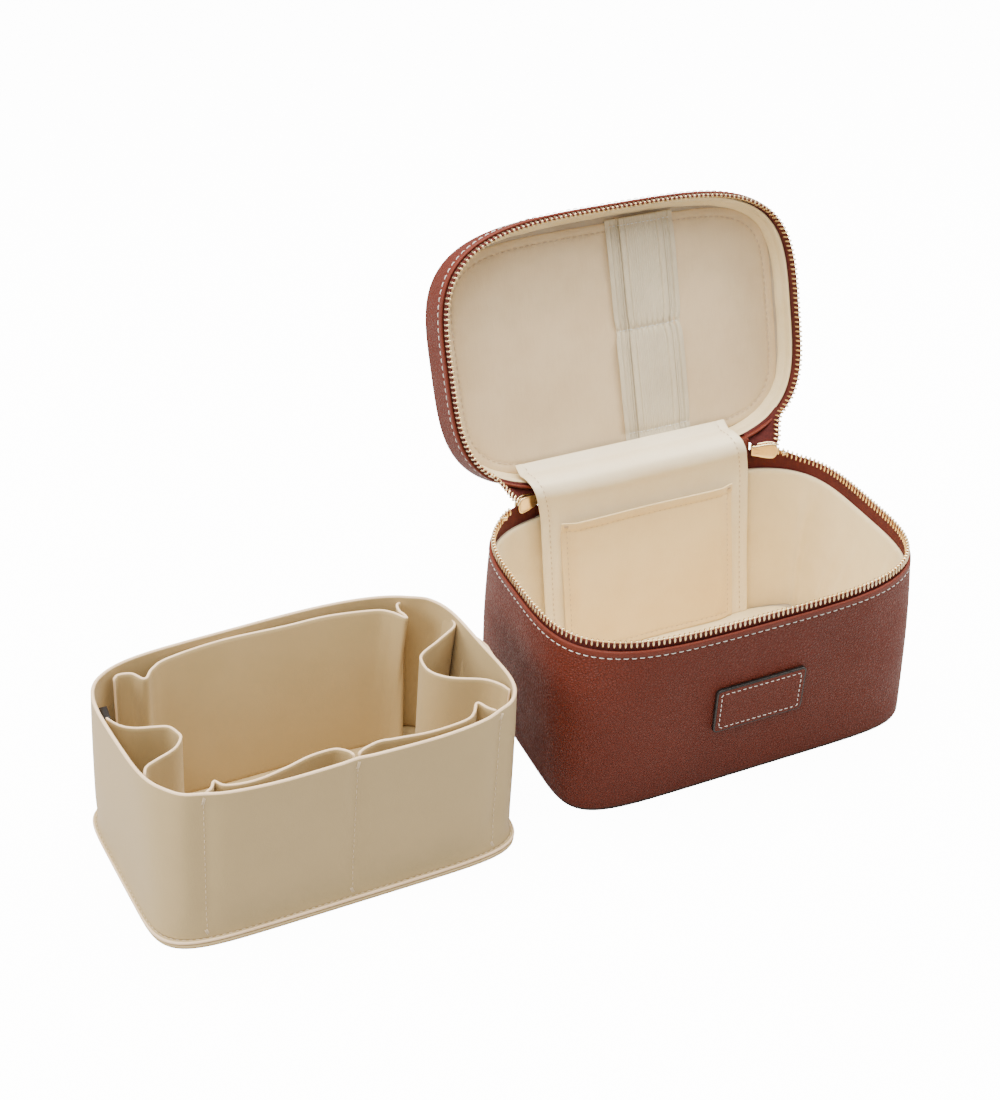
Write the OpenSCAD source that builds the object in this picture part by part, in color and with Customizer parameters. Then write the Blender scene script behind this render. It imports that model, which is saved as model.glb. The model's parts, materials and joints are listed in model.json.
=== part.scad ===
// Leather jewellery case with a zipped, hinged lid and a lift-out soft organiser.
// +X is the case's right, +Y its back, +Z up. The origin is the centre of the underside.

/* [Case body] */
// Width of the case at its rim
case_w = 220; // [180:1:260]
// Depth of the case at its rim
case_d = 152; // [130:1:190]
// Height of the leather body, up to its rim
body_h = 103; // [85:1:130]
// How much narrower the base is than the rim
base_in_w = 3; // [0:1:8]
// How much shallower the base is than the rim
base_in_d = 7; // [0:1:12]
// Squareness of the rim's outline, 2 is an ellipse
rim_power = 3.6; // [3:0.1:6]
// Squareness of the base's outline
base_power = 7; // [5:0.5:10]
// Thickness of the leather
leather_t = 1.4; // [1:0.1:2]
// Thickness of the stiffening board
board_t = 1.4; // [1:0.1:2]
// Thickness of the satin lining
lining_t = 0.8; // [0.6:0.1:1]

/* [Zip] */
// Gap between the two leather rims of the closed case
zip_gap = 12; // [10:1:16]
// Distance from one tooth to the next
tooth_pitch = 2.8; // [2.5:0.1:4]
// Half the width, at the back, that has no teeth
zip_end_x = 89.5; // [84:1:95]
// Half the distance between the two sliders
slider_x = 76; // [70:1:80]
// Length of a slider's pull
pull_len = 27; // [20:1:32]

/* [Lid] */
// Height of the lid, from its leather rim to its top
lid_h = 26; // [22:1:36]
// How much the lid's top stands out past its rim
lid_flare = 2; // [0:0.5:3]
// How far the lid stands open at rest
lid_angle = 108; // [100:1:112]
// Width of the wide elastic strap
strap_w = 42; // [30:1:50]
// Width of the narrow elastic strap
narrow_strap_w = 26; // [16:1:28]
// Sideways place of the elastic straps
strap_x = 20; // [-20:1:20]

/* [Lining and patch] */
// Width of the lining flap that covers the hinge
flap_w = 134; // [100:1:140]
// Sideways place of the lining flap
flap_x = 1.5; // [-6:1:6]
// Width of the slip pocket on the flap
pocket_w = 111; // [80:1:116]
// Height of the slip pocket's opening above the floor
pocket_z = 92; // [60:1:94]
// Width of the blank leather patch on the front
patch_w = 54; // [40:1:70]
// Height of the patch
patch_h = 29; // [20:1:36]

/* [Organiser] */
// Length of the organiser
organiser_w = 192; // [170:1:196]
// Depth of the organiser
organiser_d = 123; // [100:1:126]
// Height of the organiser
organiser_h = 88; // [70:1:92]
// Sideways place of the organiser beside the case
organiser_x = -239; // [-280:1:-236]
// Front to back place of the organiser
organiser_y = -19; // [-60:1:20]
// How far the soft organiser leans out of square, as a slope
organiser_skew = -0.13; // [-0.14:0.01:0]
// Thickness of the organiser's sheet
sheet_t = 1.8; // [1.4:0.1:2.2]

/* [Hidden] */

ring_points = 72;
base_t = 1.8;
floor_z = base_t + 2;
hinge_y = case_d / 2 - 4.5;
hinge_z = body_h + zip_gap + 1.5;
tape_in = leather_t + 0.1;
tape_t = 0.9;
tape_show = 4;
lining_in = leather_t + board_t + 0.2;
lining_top = body_h - 6.5;
lining_slope = 18;
lid_taper = 4;
slider_shift = 4;
tape_tuck = body_h - 6;
lid_z = body_h + zip_gap;
lid_top = lid_z + lid_h;
lid_panel_z = lid_z + 15;
lid_edge_r = 7;
tooth_h = 1.8;
tooth_w = 1.3;
tooth_l = 2.6;
hinge_half = 61;
body_levels = [base_t, 12, 30, 52, 74, 92, lining_top, tape_tuck, body_h];
leather_color = [0.42, 0.19, 0.15];
dark_leather_color = [0.1, 0.06, 0.05];
tape_color = [0.42, 0.14, 0.15];
gold = [0.83, 0.66, 0.36];
satin_color = [0.89, 0.84, 0.72];
panel_color = [0.84, 0.77, 0.67];
elastic_color = [0.85, 0.81, 0.71];
sheet_color = [0.79, 0.71, 0.57];

function mix(a, b, t) = a + (b - a) * t;

// A rounded outline: an ellipse whose power makes it squarer
function soft_ring(a, b, power, z, dx = 0, dy = 0) =
    [for (i = [0:ring_points - 1])
        let (t = 360 * i / ring_points, c = cos(t), s = sin(t))
        [dx + a * sign(c) * pow(abs(c), 2 / power), dy + b * sign(s) * pow(abs(s), 2 / power), z]];

// The body's outline at height z, drawn in by inset
function body_ring(inset, z) =
    let (t = min(1, z / body_h))
    soft_ring((case_w - base_in_w * (1 - t)) / 2 - inset, (case_d - base_in_d * (1 - t)) / 2 - inset,
        mix(base_power, rim_power, t), z);

// The closed lid's outline at height z, its top edge rounded over and its front leaning in
function lid_ring(inset, z) =
    let (h = max(0, z - lid_z), over = max(0, z - (lid_top - lid_edge_r)),
        round_in = lid_edge_r - sqrt(max(0, pow(lid_edge_r, 2) - pow(over, 2))),
        up = min(1, h / (lid_h - lid_edge_r)), out = lid_flare * up - round_in - inset,
        keep = 1 - 2 * lid_taper * up / case_d)
    [for (p = soft_ring(case_w / 2 + out, case_d / 2 + out, rim_power, z))
        [p[0], p[1] * (p[1] < 0 ? keep : 1), z]];

// Depth of the rim's outline at x, drawn in by inset
function rim_y(x, inset = 0) =
    (case_d / 2 - inset) * pow(1 - pow(abs(x) / (case_w / 2 - inset), rim_power), 1 / rim_power);

// Slope of the rim's outline at x
function rim_slope(x) = atan2(rim_y(x + 0.5) - rim_y(x - 0.5), 1);

// A wall that goes once round: the rings run up its outside and down its inside
module ring_wall(rings) {
    n = len(rings);
    m = len(rings[0]);
    polyhedron([for (r = rings) each r],
        [for (j = [0:n - 1], i = [0:m - 1])
            let (k = (j + 1) % n, i2 = (i + 1) % m)
            each [[j * m + i, k * m + i2, j * m + i2], [j * m + i, k * m + i, k * m + i2]]], 8);
}

// A solid whose rings run from its bottom to its top
module ring_solid(rings) {
    n = len(rings);
    m = len(rings[0]);
    polyhedron([for (r = rings) each r],
        concat([[for (i = [0:m - 1]) i]], [[for (i = [m - 1:-1:0]) (n - 1) * m + i]],
            [for (j = [0:n - 2], i = [0:m - 1])
                let (k = j + 1, i2 = (i + 1) % m)
                each [[j * m + i, k * m + i2, j * m + i2], [j * m + i, k * m + i, k * m + i2]]]), 8);
}

// A shell of the body between two insets and two of its levels
module body_shell(outer, inner, z0, z1) {
    levels = [for (z = body_levels) if (z > z0 && z < z1) z];
    up = concat([z0], levels, [z1]);
    n = len(up);
    ring_wall(concat([for (z = up) body_ring(outer, z)], [for (j = [1:n]) body_ring(inner, up[n - j])]));
}

// The loose lining's outline: at the back it slopes forward towards the floor
function lining_ring(inset, z) =
    let (keep = 1 - 2 * lining_slope * (1 - z / body_h) / case_d)
    [for (p = body_ring(inset, z)) [p[0], p[1] * (p[1] > 0 ? keep : 1), z]];

// The lid's pieces are drawn closed and stand open at rest
module opened() {
    translate([0, hinge_y, hinge_z])
        rotate([-lid_angle, 0, 0])
            translate([0, -hinge_y, -hinge_z])
                children();
}

// A point of the closed lid's y-z section, moved to where it lies at rest
function open_yz(p) =
    let (y = p[0] - hinge_y, z = p[1] - hinge_z)
    [hinge_y + y * cos(lid_angle) + z * sin(lid_angle), hinge_z - y * sin(lid_angle) + z * cos(lid_angle)];

function bezier(p, t) =
    pow(1 - t, 3) * p[0] + 3 * t * pow(1 - t, 2) * p[1] + 3 * t * t * (1 - t) * p[2] + pow(t, 3) * p[3];

// Unit direction of a path at its point i
function heading(path, i) =
    let (d = path[min(i + 1, len(path) - 1)] - path[max(i - 1, 0)])
    d / norm(d);

// The path moved sideways by d
function beside(path, d) =
    [for (i = [0:len(path) - 1]) let (h = heading(path, i)) path[i] + d * [-h[1], h[0]]];

// A closed outline of thickness t about a path
function strip(path, t) =
    let (a = beside(path, t / 2), b = beside(path, -t / 2), n = len(b))
    concat(a, [for (i = [1:n]) b[n - i]]);

// A smooth path through points, with a few steps to each span
function smooth(p, steps = 4) =
    let (n = len(p))
    concat([for (i = [0:n - 2], k = [0:steps - 1])
        let (t = k / steps, a = p[max(i - 1, 0)], b = p[i], c = p[i + 1], d = p[min(i + 2, n - 1)])
        bezier([b, b + (c - a) / 6, c - (d - b) / 6, c], t)], [p[n - 1]]);

module rounded_plate(w, h, r, t) {
    linear_extrude(t)
        union() {
            square([w - 2 * r, h], center = true);
            square([w, h - 2 * r], center = true);
            for (x = [-1, 1], y = [-1, 1])
                translate([x * (w / 2 - r), y * (h / 2 - r)])
                    circle(r, $fn = 32);
        }
}

// ---- Body ----

module base_leather() {
    color(dark_leather_color)
        ring_solid([body_ring(0.6, 0), body_ring(0.6, base_t)]);
}

module base_board() {
    color(sheet_color)
        ring_solid([body_ring(leather_t + 0.1, base_t), body_ring(leather_t + 0.1, floor_z)]);
}

module body_leather() {
    color(leather_color)
        body_shell(0, leather_t, base_t, body_h);
}

module body_board() {
    color(sheet_color)
        body_shell(leather_t + 0.1, leather_t + 0.1 + board_t, floor_z, tape_tuck - 0.5);
}

lining_levels = [floor_z, 12, 30, 52, 74, 92, lining_top];

module body_lining() {
    n = len(lining_levels);
    color(satin_color)
        ring_wall(concat([for (z = lining_levels) lining_ring(lining_in, z)],
            [for (j = [1:n]) lining_ring(lining_in + lining_t, lining_levels[n - j])]));
}

module floor_lining() {
    inset = lining_in + lining_t + 0.1;
    color(satin_color)
        ring_solid([lining_ring(inset, floor_z), lining_ring(inset, floor_z + lining_t)]);
}

patch_mid_z = 53;
patch_y = -(case_d - base_in_d * (1 - patch_mid_z / body_h)) / 2 - 0.1;
wall_lean = atan2(base_in_d / 2, body_h);

module patch_leather() {
    color(dark_leather_color)
        translate([-2, patch_y, patch_mid_z])
            rotate([90 + wall_lean, 0, 0])
                rounded_plate(patch_w, patch_h, 2.5, 1.6);
}

module patch_face() {
    color(leather_color)
        translate([-2, patch_y, patch_mid_z])
            rotate([90 + wall_lean, 0, 0])
                translate([0, 0, 1.6])
                    rounded_plate(patch_w - 2, patch_h - 2, 2, 0.8);
}

// ---- Zip ----

// The space behind the hinge, half wide to each side, that zip tape stays out of
module back_gap(half, z) {
    translate([-half, 0, z])
        cube([2 * half, case_d, zip_gap]);
}

module zip_tape_body() {
    color(tape_color)
        difference() {
            body_shell(tape_in, tape_in + tape_t, tape_tuck, body_h + tape_show);
            back_gap(hinge_half + 1.5, body_h - 0.5);
        }
}

tooth_inset = tape_in + tape_t / 2;
path_samples = 360;
tooth_path = [for (i = [0:path_samples])
    let (t = 360 * i / path_samples - 90, c = cos(t), s = sin(t))
    [(case_w / 2 - tooth_inset) * sign(c) * pow(abs(c), 2 / rim_power),
        (case_d / 2 - tooth_inset) * sign(s) * pow(abs(s), 2 / rim_power)]];
tooth_run = [for (i = 0, s = 0; i <= path_samples;
    s = s + (i < path_samples ? norm(tooth_path[i + 1] - tooth_path[i]) : 0), i = i + 1) s];

// The teeth go round the rim, from the middle of the front, and leave the back clear
module teeth(z) {
    total = tooth_run[path_samples];
    count = round(total / tooth_pitch);
    for (k = [0:count - 1]) {
        s = (k + 0.5) * total / count;
        i = len([for (r = tooth_run) if (r <= s) 1]) - 1;
        a = tooth_path[i];
        b = tooth_path[i + 1];
        p = mix(a, b, (s - tooth_run[i]) / (tooth_run[i + 1] - tooth_run[i]));
        if (p[1] < 0 || abs(p[0]) > zip_end_x + tooth_w)
            translate([p[0], p[1], z + tooth_h / 2])
                rotate([0, 0, atan2(b[1] - a[1], b[0] - a[0])])
                    cube([tooth_w, tooth_l, tooth_h], center = true);
    }
}

module zip_teeth_body() {
    color(gold)
        teeth(body_h + tape_show);
}

// Children stand on the rim at the right slider: X along the zip, Y outward, Z up
module at_slider(x) {
    translate([x, rim_y(x, tooth_inset), 0])
        rotate([0, 0, rim_slope(x)])
            children();
}

// Half the height of a slider's plate at u, from its narrow end 0 to its wide end 1
function plate_half(u) = plate_high - 1.7 * (cos(180 * min(1, u / 0.72)) * 0.5 + 0.5)
    - (u > 0.8 ? (plate_high - 0.2) * (1 - sqrt(max(0, 1 - pow((u - 0.8) / 0.2, 2)))) : 0);

plate_len = 16;
plate_high = 5;
plate_mid_z = body_h + 6.4;

module slider_plate(t) {
    steps = 20;
    top = [for (i = [0:steps]) [plate_len * (i / steps - 0.5), plate_half(i / steps)]];
    bottom = [for (i = [0:steps]) [plate_len * (0.5 - i / steps), -plate_half(1 - i / steps)]];
    rotate([90, 0, 0])
        linear_extrude(t)
            polygon(concat(top, bottom));
}

plate_t = 1.1;
plate_gap = 1.0;
bail_z = plate_mid_z - 4.4;
bail_y = plate_gap + plate_t + 2;
pull_lean = 8;

// The front plate is inside the case, the back plate outside, and a neck joins them
module slider() {
    translate([0, -plate_gap, plate_mid_z])
        slider_plate(plate_t);
    translate([0, plate_gap + plate_t, plate_mid_z])
        slider_plate(plate_t);
    translate([2, -plate_gap - 0.1, plate_mid_z - 1.2])
        cube([2, 2 * plate_gap + 0.2, 2.4]);
    for (x = [-3.4, 2.2])
        translate([x, plate_gap + plate_t - 0.05, bail_z])
            rotate([0, 90, 0])
                linear_extrude(1.2)
                    translate([-1.3, 0])
                        square([2.6, 3.2]);
    translate([-3.4, bail_y, bail_z])
        rotate([0, 90, 0])
            cylinder(r = 0.7, h = 6.8, $fn = 24);
}

module slider_right() {
    color(gold)
        at_slider(slider_x + slider_shift)
            slider();
}

module slider_left() {
    color(gold)
        mirror([1, 0, 0])
            at_slider(slider_x - slider_shift)
                slider();
}

// A tab that hangs from the slider's bail and leans out over the leather
module pull() {
    tab_top = -7;
    tab_r = 3.8;
    translate([0, bail_y, bail_z])
        rotate([pull_lean, 0, 0])
            difference() {
                union() {
                    rotate([0, 90, 0])
                        cylinder(r = 1.7, h = 3.7, center = true, $fn = 32);
                    translate([-1.7, -0.6, tab_top])
                        cube([3.4, 1.2, -tab_top - 1]);
                    translate([0, 0.6, tab_top])
                        rotate([90, 0, 0])
                            linear_extrude(1.2)
                                hull() {
                                    circle(r = tab_r, $fn = 40);
                                    translate([0, -tab_top + tab_r - pull_len])
                                        circle(r = tab_r, $fn = 40);
                                }
                }
                rotate([0, 90, 0])
                    cylinder(r = 1.05, h = 10, center = true, $fn = 24);
            }
}

module pull_right() {
    color(gold)
        at_slider(slider_x + slider_shift)
            pull();
}

module pull_left() {
    color(gold)
        mirror([1, 0, 0])
            at_slider(slider_x - slider_shift)
                pull();
}

// A small folded clip that ends the row of teeth behind each slider
module zip_stop() {
    translate([zip_end_x + 0.4, rim_y(zip_end_x + 0.8, tooth_inset), body_h + tape_show + 1.1])
        rotate([0, 0, rim_slope(zip_end_x)])
            cube([1.4, 3, 2.2], center = true);
}

module zip_stop_right() {
    color(gold)
        zip_stop();
}

module zip_stop_left() {
    color(gold)
        mirror([1, 0, 0])
            zip_stop();
}

// ---- Lid ----

lid_side_levels = [lid_z, lid_z + 6, lid_z + 12, lid_top - lid_edge_r];

module lid_side_leather() {
    n = len(lid_side_levels);
    color(leather_color)
        opened()
            ring_wall(concat([for (z = lid_side_levels) lid_ring(0, z)],
                [for (j = [1:n]) lid_ring(leather_t, lid_side_levels[n - j])]));
}

// The top sheet is a shallow dish that sits on the side's upper edge
module lid_top_leather() {
    rise = [for (i = [0:4]) lid_top - lid_edge_r + 0.05 + (lid_edge_r - 0.05) * sin(90 * i / 4)];
    outer = [for (z = rise) lid_ring(0, z)];
    color(leather_color)
        opened()
            difference() {
                ring_solid(outer);
                ring_solid([lid_ring(leather_t, rise[0] - 1), lid_ring(leather_t, rise[1] - leather_t / 2),
                    lid_ring(leather_t, rise[2] - leather_t), lid_ring(leather_t, rise[3] - leather_t)]);
            }
}

foam_top = lid_top - 2.6;
board_z = lid_panel_z + 0.8;

module lid_foam() {
    color(satin_color)
        opened()
            ring_solid([lid_ring(4.2, board_z + 2.1), lid_ring(4.2, lid_top - lid_edge_r),
                lid_ring(4.2, foam_top - 1.4)]);
}

module lid_board() {
    color(sheet_color)
        opened()
            ring_solid([lid_ring(lining_in + lining_t + 0.2, board_z),
                lid_ring(lining_in + lining_t + 0.2, board_z + 2)]);
}

// Satin inside the lid's side, from the zip to the panel
module lid_side_lining() {
    levels = [lid_z + 3.5, lid_z + 9, lid_panel_z + 0.8];
    n = len(levels);
    color(satin_color)
        opened()
            ring_wall(concat([for (z = levels) lid_ring(lining_in, z)],
                [for (j = [1:n]) lid_ring(lining_in + lining_t, levels[n - j])]));
}

panel_in = 7;

module lid_panel() {
    color(panel_color)
        opened()
            ring_solid([for (z = [lid_panel_z, lid_panel_z + 0.8])
                [for (p = soft_ring(case_w / 2 - panel_in, case_d / 2 - panel_in - 1, 5, z))
                    [p[0], p[1] * (p[1] < 0 ? 1 - 2 * lid_taper / case_d : 1), z]]]);
}

strap_d = case_d - 2 * panel_in - 8;

// A flat elastic band under the panel, w wide, at height z of the closed lid
module elastic(w, z) {
    color(elastic_color)
        opened()
            translate([strap_x - w / 2, -strap_d / 2 + 2, z])
                cube([w, strap_d - 4, 0.9]);
}

module strap_wide() {
    elastic(strap_w, lid_panel_z - 0.95);
}

module strap_narrow() {
    elastic(narrow_strap_w, lid_panel_z - 1.9);
}

module zip_tape_lid() {
    levels = [lid_z - tape_show, lid_z, lid_z + 3.4];
    n = len(levels);
    color(tape_color)
        opened()
            difference() {
                ring_wall(concat([for (z = levels) lid_ring(tape_in, z)],
                    [for (j = [1:n]) lid_ring(tape_in + tape_t, levels[n - j])]));
                back_gap(zip_end_x, lid_z - zip_gap - 0.1);
            }
}

module zip_teeth_lid() {
    color(gold)
        opened()
            teeth(lid_z - tape_show - tooth_h);
}

// ---- Soft pieces that cross the hinge, in their shape at rest ----

// A sheet t thick: sections[j] is its path in y and z at xs[j]
module cross_sheet(sections, xs, t) {
    rows = len(xs);
    n = len(sections[0]);
    function grid(d) = [for (j = [0:rows - 1], p = beside(sections[j], d)) [xs[j], p[0], p[1]]];
    function cell(o, a, b) = [[o + a, o + b, o + a + n], [o + b, o + b + n, o + a + n]];
    function flip(f) = [for (t = f) [t[2], t[1], t[0]]];
    m = rows * n;
    faces = concat(
        [for (j = [0:rows - 2], i = [0:n - 2]) each cell(j * n, i, i + 1)],
        [for (j = [0:rows - 2], i = [0:n - 2]) each flip(cell(m + j * n, i, i + 1))],
        [for (j = [0:rows - 2]) each [[j * n, (j + 1) * n, m + j * n],
            [(j + 1) * n, m + (j + 1) * n, m + j * n]]],
        [for (j = [0:rows - 2]) let (e = j * n + n - 1) each [[m + e, e + n, e],
            [m + e, m + e + n, e + n]]],
        [for (i = [0:n - 2]) each [[i, m + i, i + 1], [m + i, m + i + 1, i + 1]]],
        [for (i = [0:n - 2]) let (e = (rows - 1) * n + i) each [[e + 1, m + e, e],
            [e + 1, m + e + 1, m + e]]]);
    polyhedron(concat(grid(t / 2), grid(-t / 2)), faces, 6);
}

// The leather hinge strip goes from the body's rim to the lid's rim
module hinge_leather() {
    xs = [for (x = [-4:4]) x * hinge_half / 4];
    sections = [for (x = xs)
        let (a = [rim_y(x, leather_t / 2), body_h + 0.5],
            b = open_yz([rim_y(x, leather_t / 2), lid_z - 1.5]))
        [for (i = [0:8]) bezier([a, a + [-4.5, 6], b + 2 * [-sin(lid_angle), -cos(lid_angle)], b], i / 8)]];
    color(leather_color)
        cross_sheet(sections, xs, 1.2);
}

// The satin flap runs from the lid's panel over the hinge and down the back
module lining_flap() {
    back_y = case_d / 2 - lining_in - lining_t - 1.3;
    panel_end = open_yz([case_d / 2 - panel_in - 4.5, lid_panel_z - 1]);
    foot = [back_y - lining_slope - 2.6, base_t + 4.5];
    shoulder = [back_y - 7.5, body_h + 8];
    nose = [back_y - 5.4, body_h + 14.6];
    path = smooth([panel_end, mix(panel_end, nose, 0.5) + [0, 2.7], mix(panel_end, nose, 0.77) + [0, 2.8],
        nose, shoulder, [back_y - 5.7, body_h - 6], mix([back_y - 5.7, body_h - 6], foot, 0.5), foot], 3);
    color(satin_color)
        translate([flap_x - flap_w / 2, 0, 0])
            rotate([90, 0, 90])
                linear_extrude(flap_w)
                    polygon(strip(path, 0.9));
}

// The slip pocket lies on the flap, on the back wall
module flap_pocket() {
    back_y = case_d / 2 - lining_in - lining_t - 1.3;
    color(satin_color)
        translate([flap_x - pocket_w / 2, back_y - lining_slope - 4.1, base_t + 5.4])
            rotate([-atan2(lining_slope - 3.1, body_h - 12.3), 0, 0])
                cube([pocket_w, 0.8, pocket_z - base_t - 5.4]);
}

// ---- Organiser ----

lean_x = 9;
lean_y = 5.5;

// The organiser stands beside the case, soft and a little out of square
module beside_case() {
    multmatrix([[1, organiser_skew, lean_x / organiser_h, organiser_x],
        [0, 1, lean_y / organiser_h, organiser_y],
        [0, 0, 1, 0]])
        children();
}

organiser_power = 4.5;
flange = 5;

function organiser_ring(inset, z) =
    let (t = z / organiser_h)
    soft_ring(organiser_w / 2 - flange * (1 - t) - inset, organiser_d / 2 - flange * (1 - t) - inset,
        mix(7, organiser_power, t), z);

module organiser_base() {
    color(sheet_color)
        beside_case()
            ring_solid([soft_ring(organiser_w / 2, organiser_d / 2, 7, 0),
                soft_ring(organiser_w / 2, organiser_d / 2, 7, sheet_t)]);
}

module organiser_wall() {
    levels = [sheet_t, organiser_h * 0.5, organiser_h];
    color(sheet_color)
        beside_case()
            ring_wall(concat([for (z = levels) organiser_ring(0, z)],
                [for (j = [1:3]) organiser_ring(sheet_t, levels[3 - j])]));
}

// An upright sheet along a plan path
module upright(path, z1) {
    color(sheet_color)
        beside_case()
            translate([0, 0, sheet_t])
                linear_extrude(z1 - sheet_t)
                    polygon(strip(path, sheet_t * 0.8));
}

module organiser_back_pocket() {
    upright(smooth([[-77, 49.5], [-74, 50], [-69, 48.5], [-64.5, 43], [-58.5, 47.5], [-48, 49.5],
        [-16, 49.5], [30, 49.5],
        [60, 49], [67, 46.2], [71.5, 41], [76, 44.6], [78.5, 48.6]]), organiser_h - 4);
}

module organiser_left_loop() {
    upright(smooth([[-87, 20.2], [-84.5, 13.5], [-80, 9], [-72.5, 5.8], [-67, 3], [-64.8, -2.4],
        [-65, -7.3], [-70.5, -13.4], [-80, -18.4], [-85, -21.6], [-86.5, -26]]), organiser_h - 5);
}

module organiser_right_loop() {
    upright(smooth([[88, 34], [88, 27], [86.5, 21.6], [77, 14], [66.5, 7.8], [62.5, 2.6],
        [61.5, -7.8], [66.5, -16], [79, -24], [85, -31], [87, -36]]), organiser_h - 5);
}

module organiser_right_slip() {
    upright(smooth([[87.2, 18], [87.8, 6], [87.6, -4], [87, -14]]), organiser_h - 6);
}

module organiser_front_pocket_left() {
    upright(smooth([[-68.5, -51], [-66.5, -48.5], [-64.2, -45.6], [-61.5, -49], [-54, -52],
        [-43, -52.3], [-32, -49.5], [-18.6, -45.5], [-7, -45.5], [-1.6, -49],
        [-1.4, -52.3]]), organiser_h - 5);
}

module organiser_front_pocket_right() {
    upright(smooth([[1.6, -52.3], [2.6, -50.5], [7, -49], [15.2, -48.5], [23.2, -49.5],
        [36, -52], [50, -52.3], [61, -50.5], [66, -46.5], [70.8, -42],
        [74, -46], [75.5, -49.5]]), organiser_h - 5);
}

module organiser_label() {
    color(dark_leather_color)
        beside_case()
            translate([-88.6, 26, organiser_h - 24])
                rotate([0, 0, 5])
                    cube([0.5, 9, 16]);
}

base_leather();
base_board();
body_leather();
body_board();
body_lining();
floor_lining();
patch_leather();
patch_face();
zip_tape_body();
zip_teeth_body();
slider_left();
slider_right();
zip_stop_left();
zip_stop_right();
flap_pocket();
pull_left();
pull_right();
lid_side_leather();
lid_top_leather();
lid_board();
lid_foam();
lid_side_lining();
lid_panel();
strap_wide();
strap_narrow();
zip_tape_lid();
zip_teeth_lid();
hinge_leather();
lining_flap();
organiser_base();
organiser_wall();
organiser_back_pocket();
organiser_left_loop();
organiser_right_loop();
organiser_right_slip();
organiser_front_pocket_left();
organiser_front_pocket_right();
organiser_label();
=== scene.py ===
"""A leather jewellery case with a zipped, hinged lid, and its lift-out soft organiser.

The case's own frame: X to its right, Y to its back, Z up, the origin under the middle of its base.
Sizes in this script are in millimetres, and mesh() turns them into metres.
"""

import json
import math

import bpy
import numpy as np
from mathutils import Matrix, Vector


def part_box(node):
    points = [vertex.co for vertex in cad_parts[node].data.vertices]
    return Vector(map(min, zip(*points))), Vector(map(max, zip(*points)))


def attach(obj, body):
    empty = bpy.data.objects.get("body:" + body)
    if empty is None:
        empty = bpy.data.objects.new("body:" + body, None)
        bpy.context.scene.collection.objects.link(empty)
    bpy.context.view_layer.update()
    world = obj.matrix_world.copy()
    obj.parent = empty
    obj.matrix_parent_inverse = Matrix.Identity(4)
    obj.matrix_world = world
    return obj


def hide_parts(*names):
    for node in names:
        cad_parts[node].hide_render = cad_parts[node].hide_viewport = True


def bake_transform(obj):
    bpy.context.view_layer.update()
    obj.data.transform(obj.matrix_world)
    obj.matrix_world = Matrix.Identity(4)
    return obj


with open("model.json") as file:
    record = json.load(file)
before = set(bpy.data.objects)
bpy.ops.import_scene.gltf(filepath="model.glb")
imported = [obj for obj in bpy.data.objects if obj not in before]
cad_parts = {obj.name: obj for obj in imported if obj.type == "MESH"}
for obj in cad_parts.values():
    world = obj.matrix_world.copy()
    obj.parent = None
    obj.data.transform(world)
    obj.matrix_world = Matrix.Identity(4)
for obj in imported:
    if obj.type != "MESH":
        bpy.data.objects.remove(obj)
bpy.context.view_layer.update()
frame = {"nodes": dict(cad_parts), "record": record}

# ---------------------------------------------------------------- sizes, from the frame

MM = 0.001


def span(node):
    """Lowest and highest corner of a CAD node, in millimetres."""
    low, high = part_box(node)
    return np.array(low) / MM, np.array(high) / MM


def joint(name):
    """A joint's entry in the record, by its name."""
    return next(j for j in frame["record"]["behaviour"]["joints"] if j["name"] == name)


RIM_W, RIM_D, RIM_Z = span("body_leather")[1]
BASE_W, BASE_D = span("base_leather")[1][:2] + 0.6
BASE_T = span("base_leather")[1][2]
RIM_POWER, BASE_POWER = 3.6, 7.0
HINGE_Y, HINGE_Z = np.array(joint("lid_hinge")["pos_m"][1:]) / MM
OPEN = math.radians(joint("lid_hinge")["range_deg"][1])
ZIP_GAP = 12.0
LID_Z = RIM_Z + ZIP_GAP
LID_H = 26.0
LID_TOP = LID_Z + LID_H
LID_FLARE = 2.0
LID_TAPER = 4.0
LID_EDGE = 7.0
TAPE_IN = 1.95
PITCH = 2.8
STITCH = 4.1
PANEL_Z = LID_Z + 15
FLAP_X, FLAP_HALF = 1.5, 67.0
SLIDER_SHIFT = 4.0
SLIDER_X = 76.0
SLIDER_Z = RIM_Z + 6.4
ORG_LOW, ORG_HIGH = span("organiser_base")
ORG_X, ORG_Y = (ORG_LOW[:2] + ORG_HIGH[:2]) / 2
ORG_W, ORG_D, ORG_H = 96.0, (ORG_HIGH[1] - ORG_LOW[1]) / 2, span("organiser_wall")[1][2]
ORG_SKEW, ORG_LEAN_X, ORG_LEAN_Y = -0.13, 9.0, 5.5
ORG_SHEET = 1.8

# ---------------------------------------------------------------- curves and grids


def mix(a, b, t):
    """The value a fraction t of the way from a to b."""
    return a + (b - a) * t


def ease(t):
    """0 to 1 with a smooth start and end."""
    t = np.clip(t, 0, 1)
    return t * t * (3 - 2 * t)


def bump(x, middle, width):
    """A bell curve of height 1."""
    return np.exp(-(((x - middle) / width) ** 2))


def resample(points, count):
    """Points evenly spaced along a polyline."""
    d = np.r_[0, np.cumsum(np.linalg.norm(np.diff(points, axis=0), axis=1))]
    u = np.linspace(0, d[-1], count)
    return np.stack([np.interp(u, d, points[:, k]) for k in range(points.shape[1])], 1)


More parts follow.
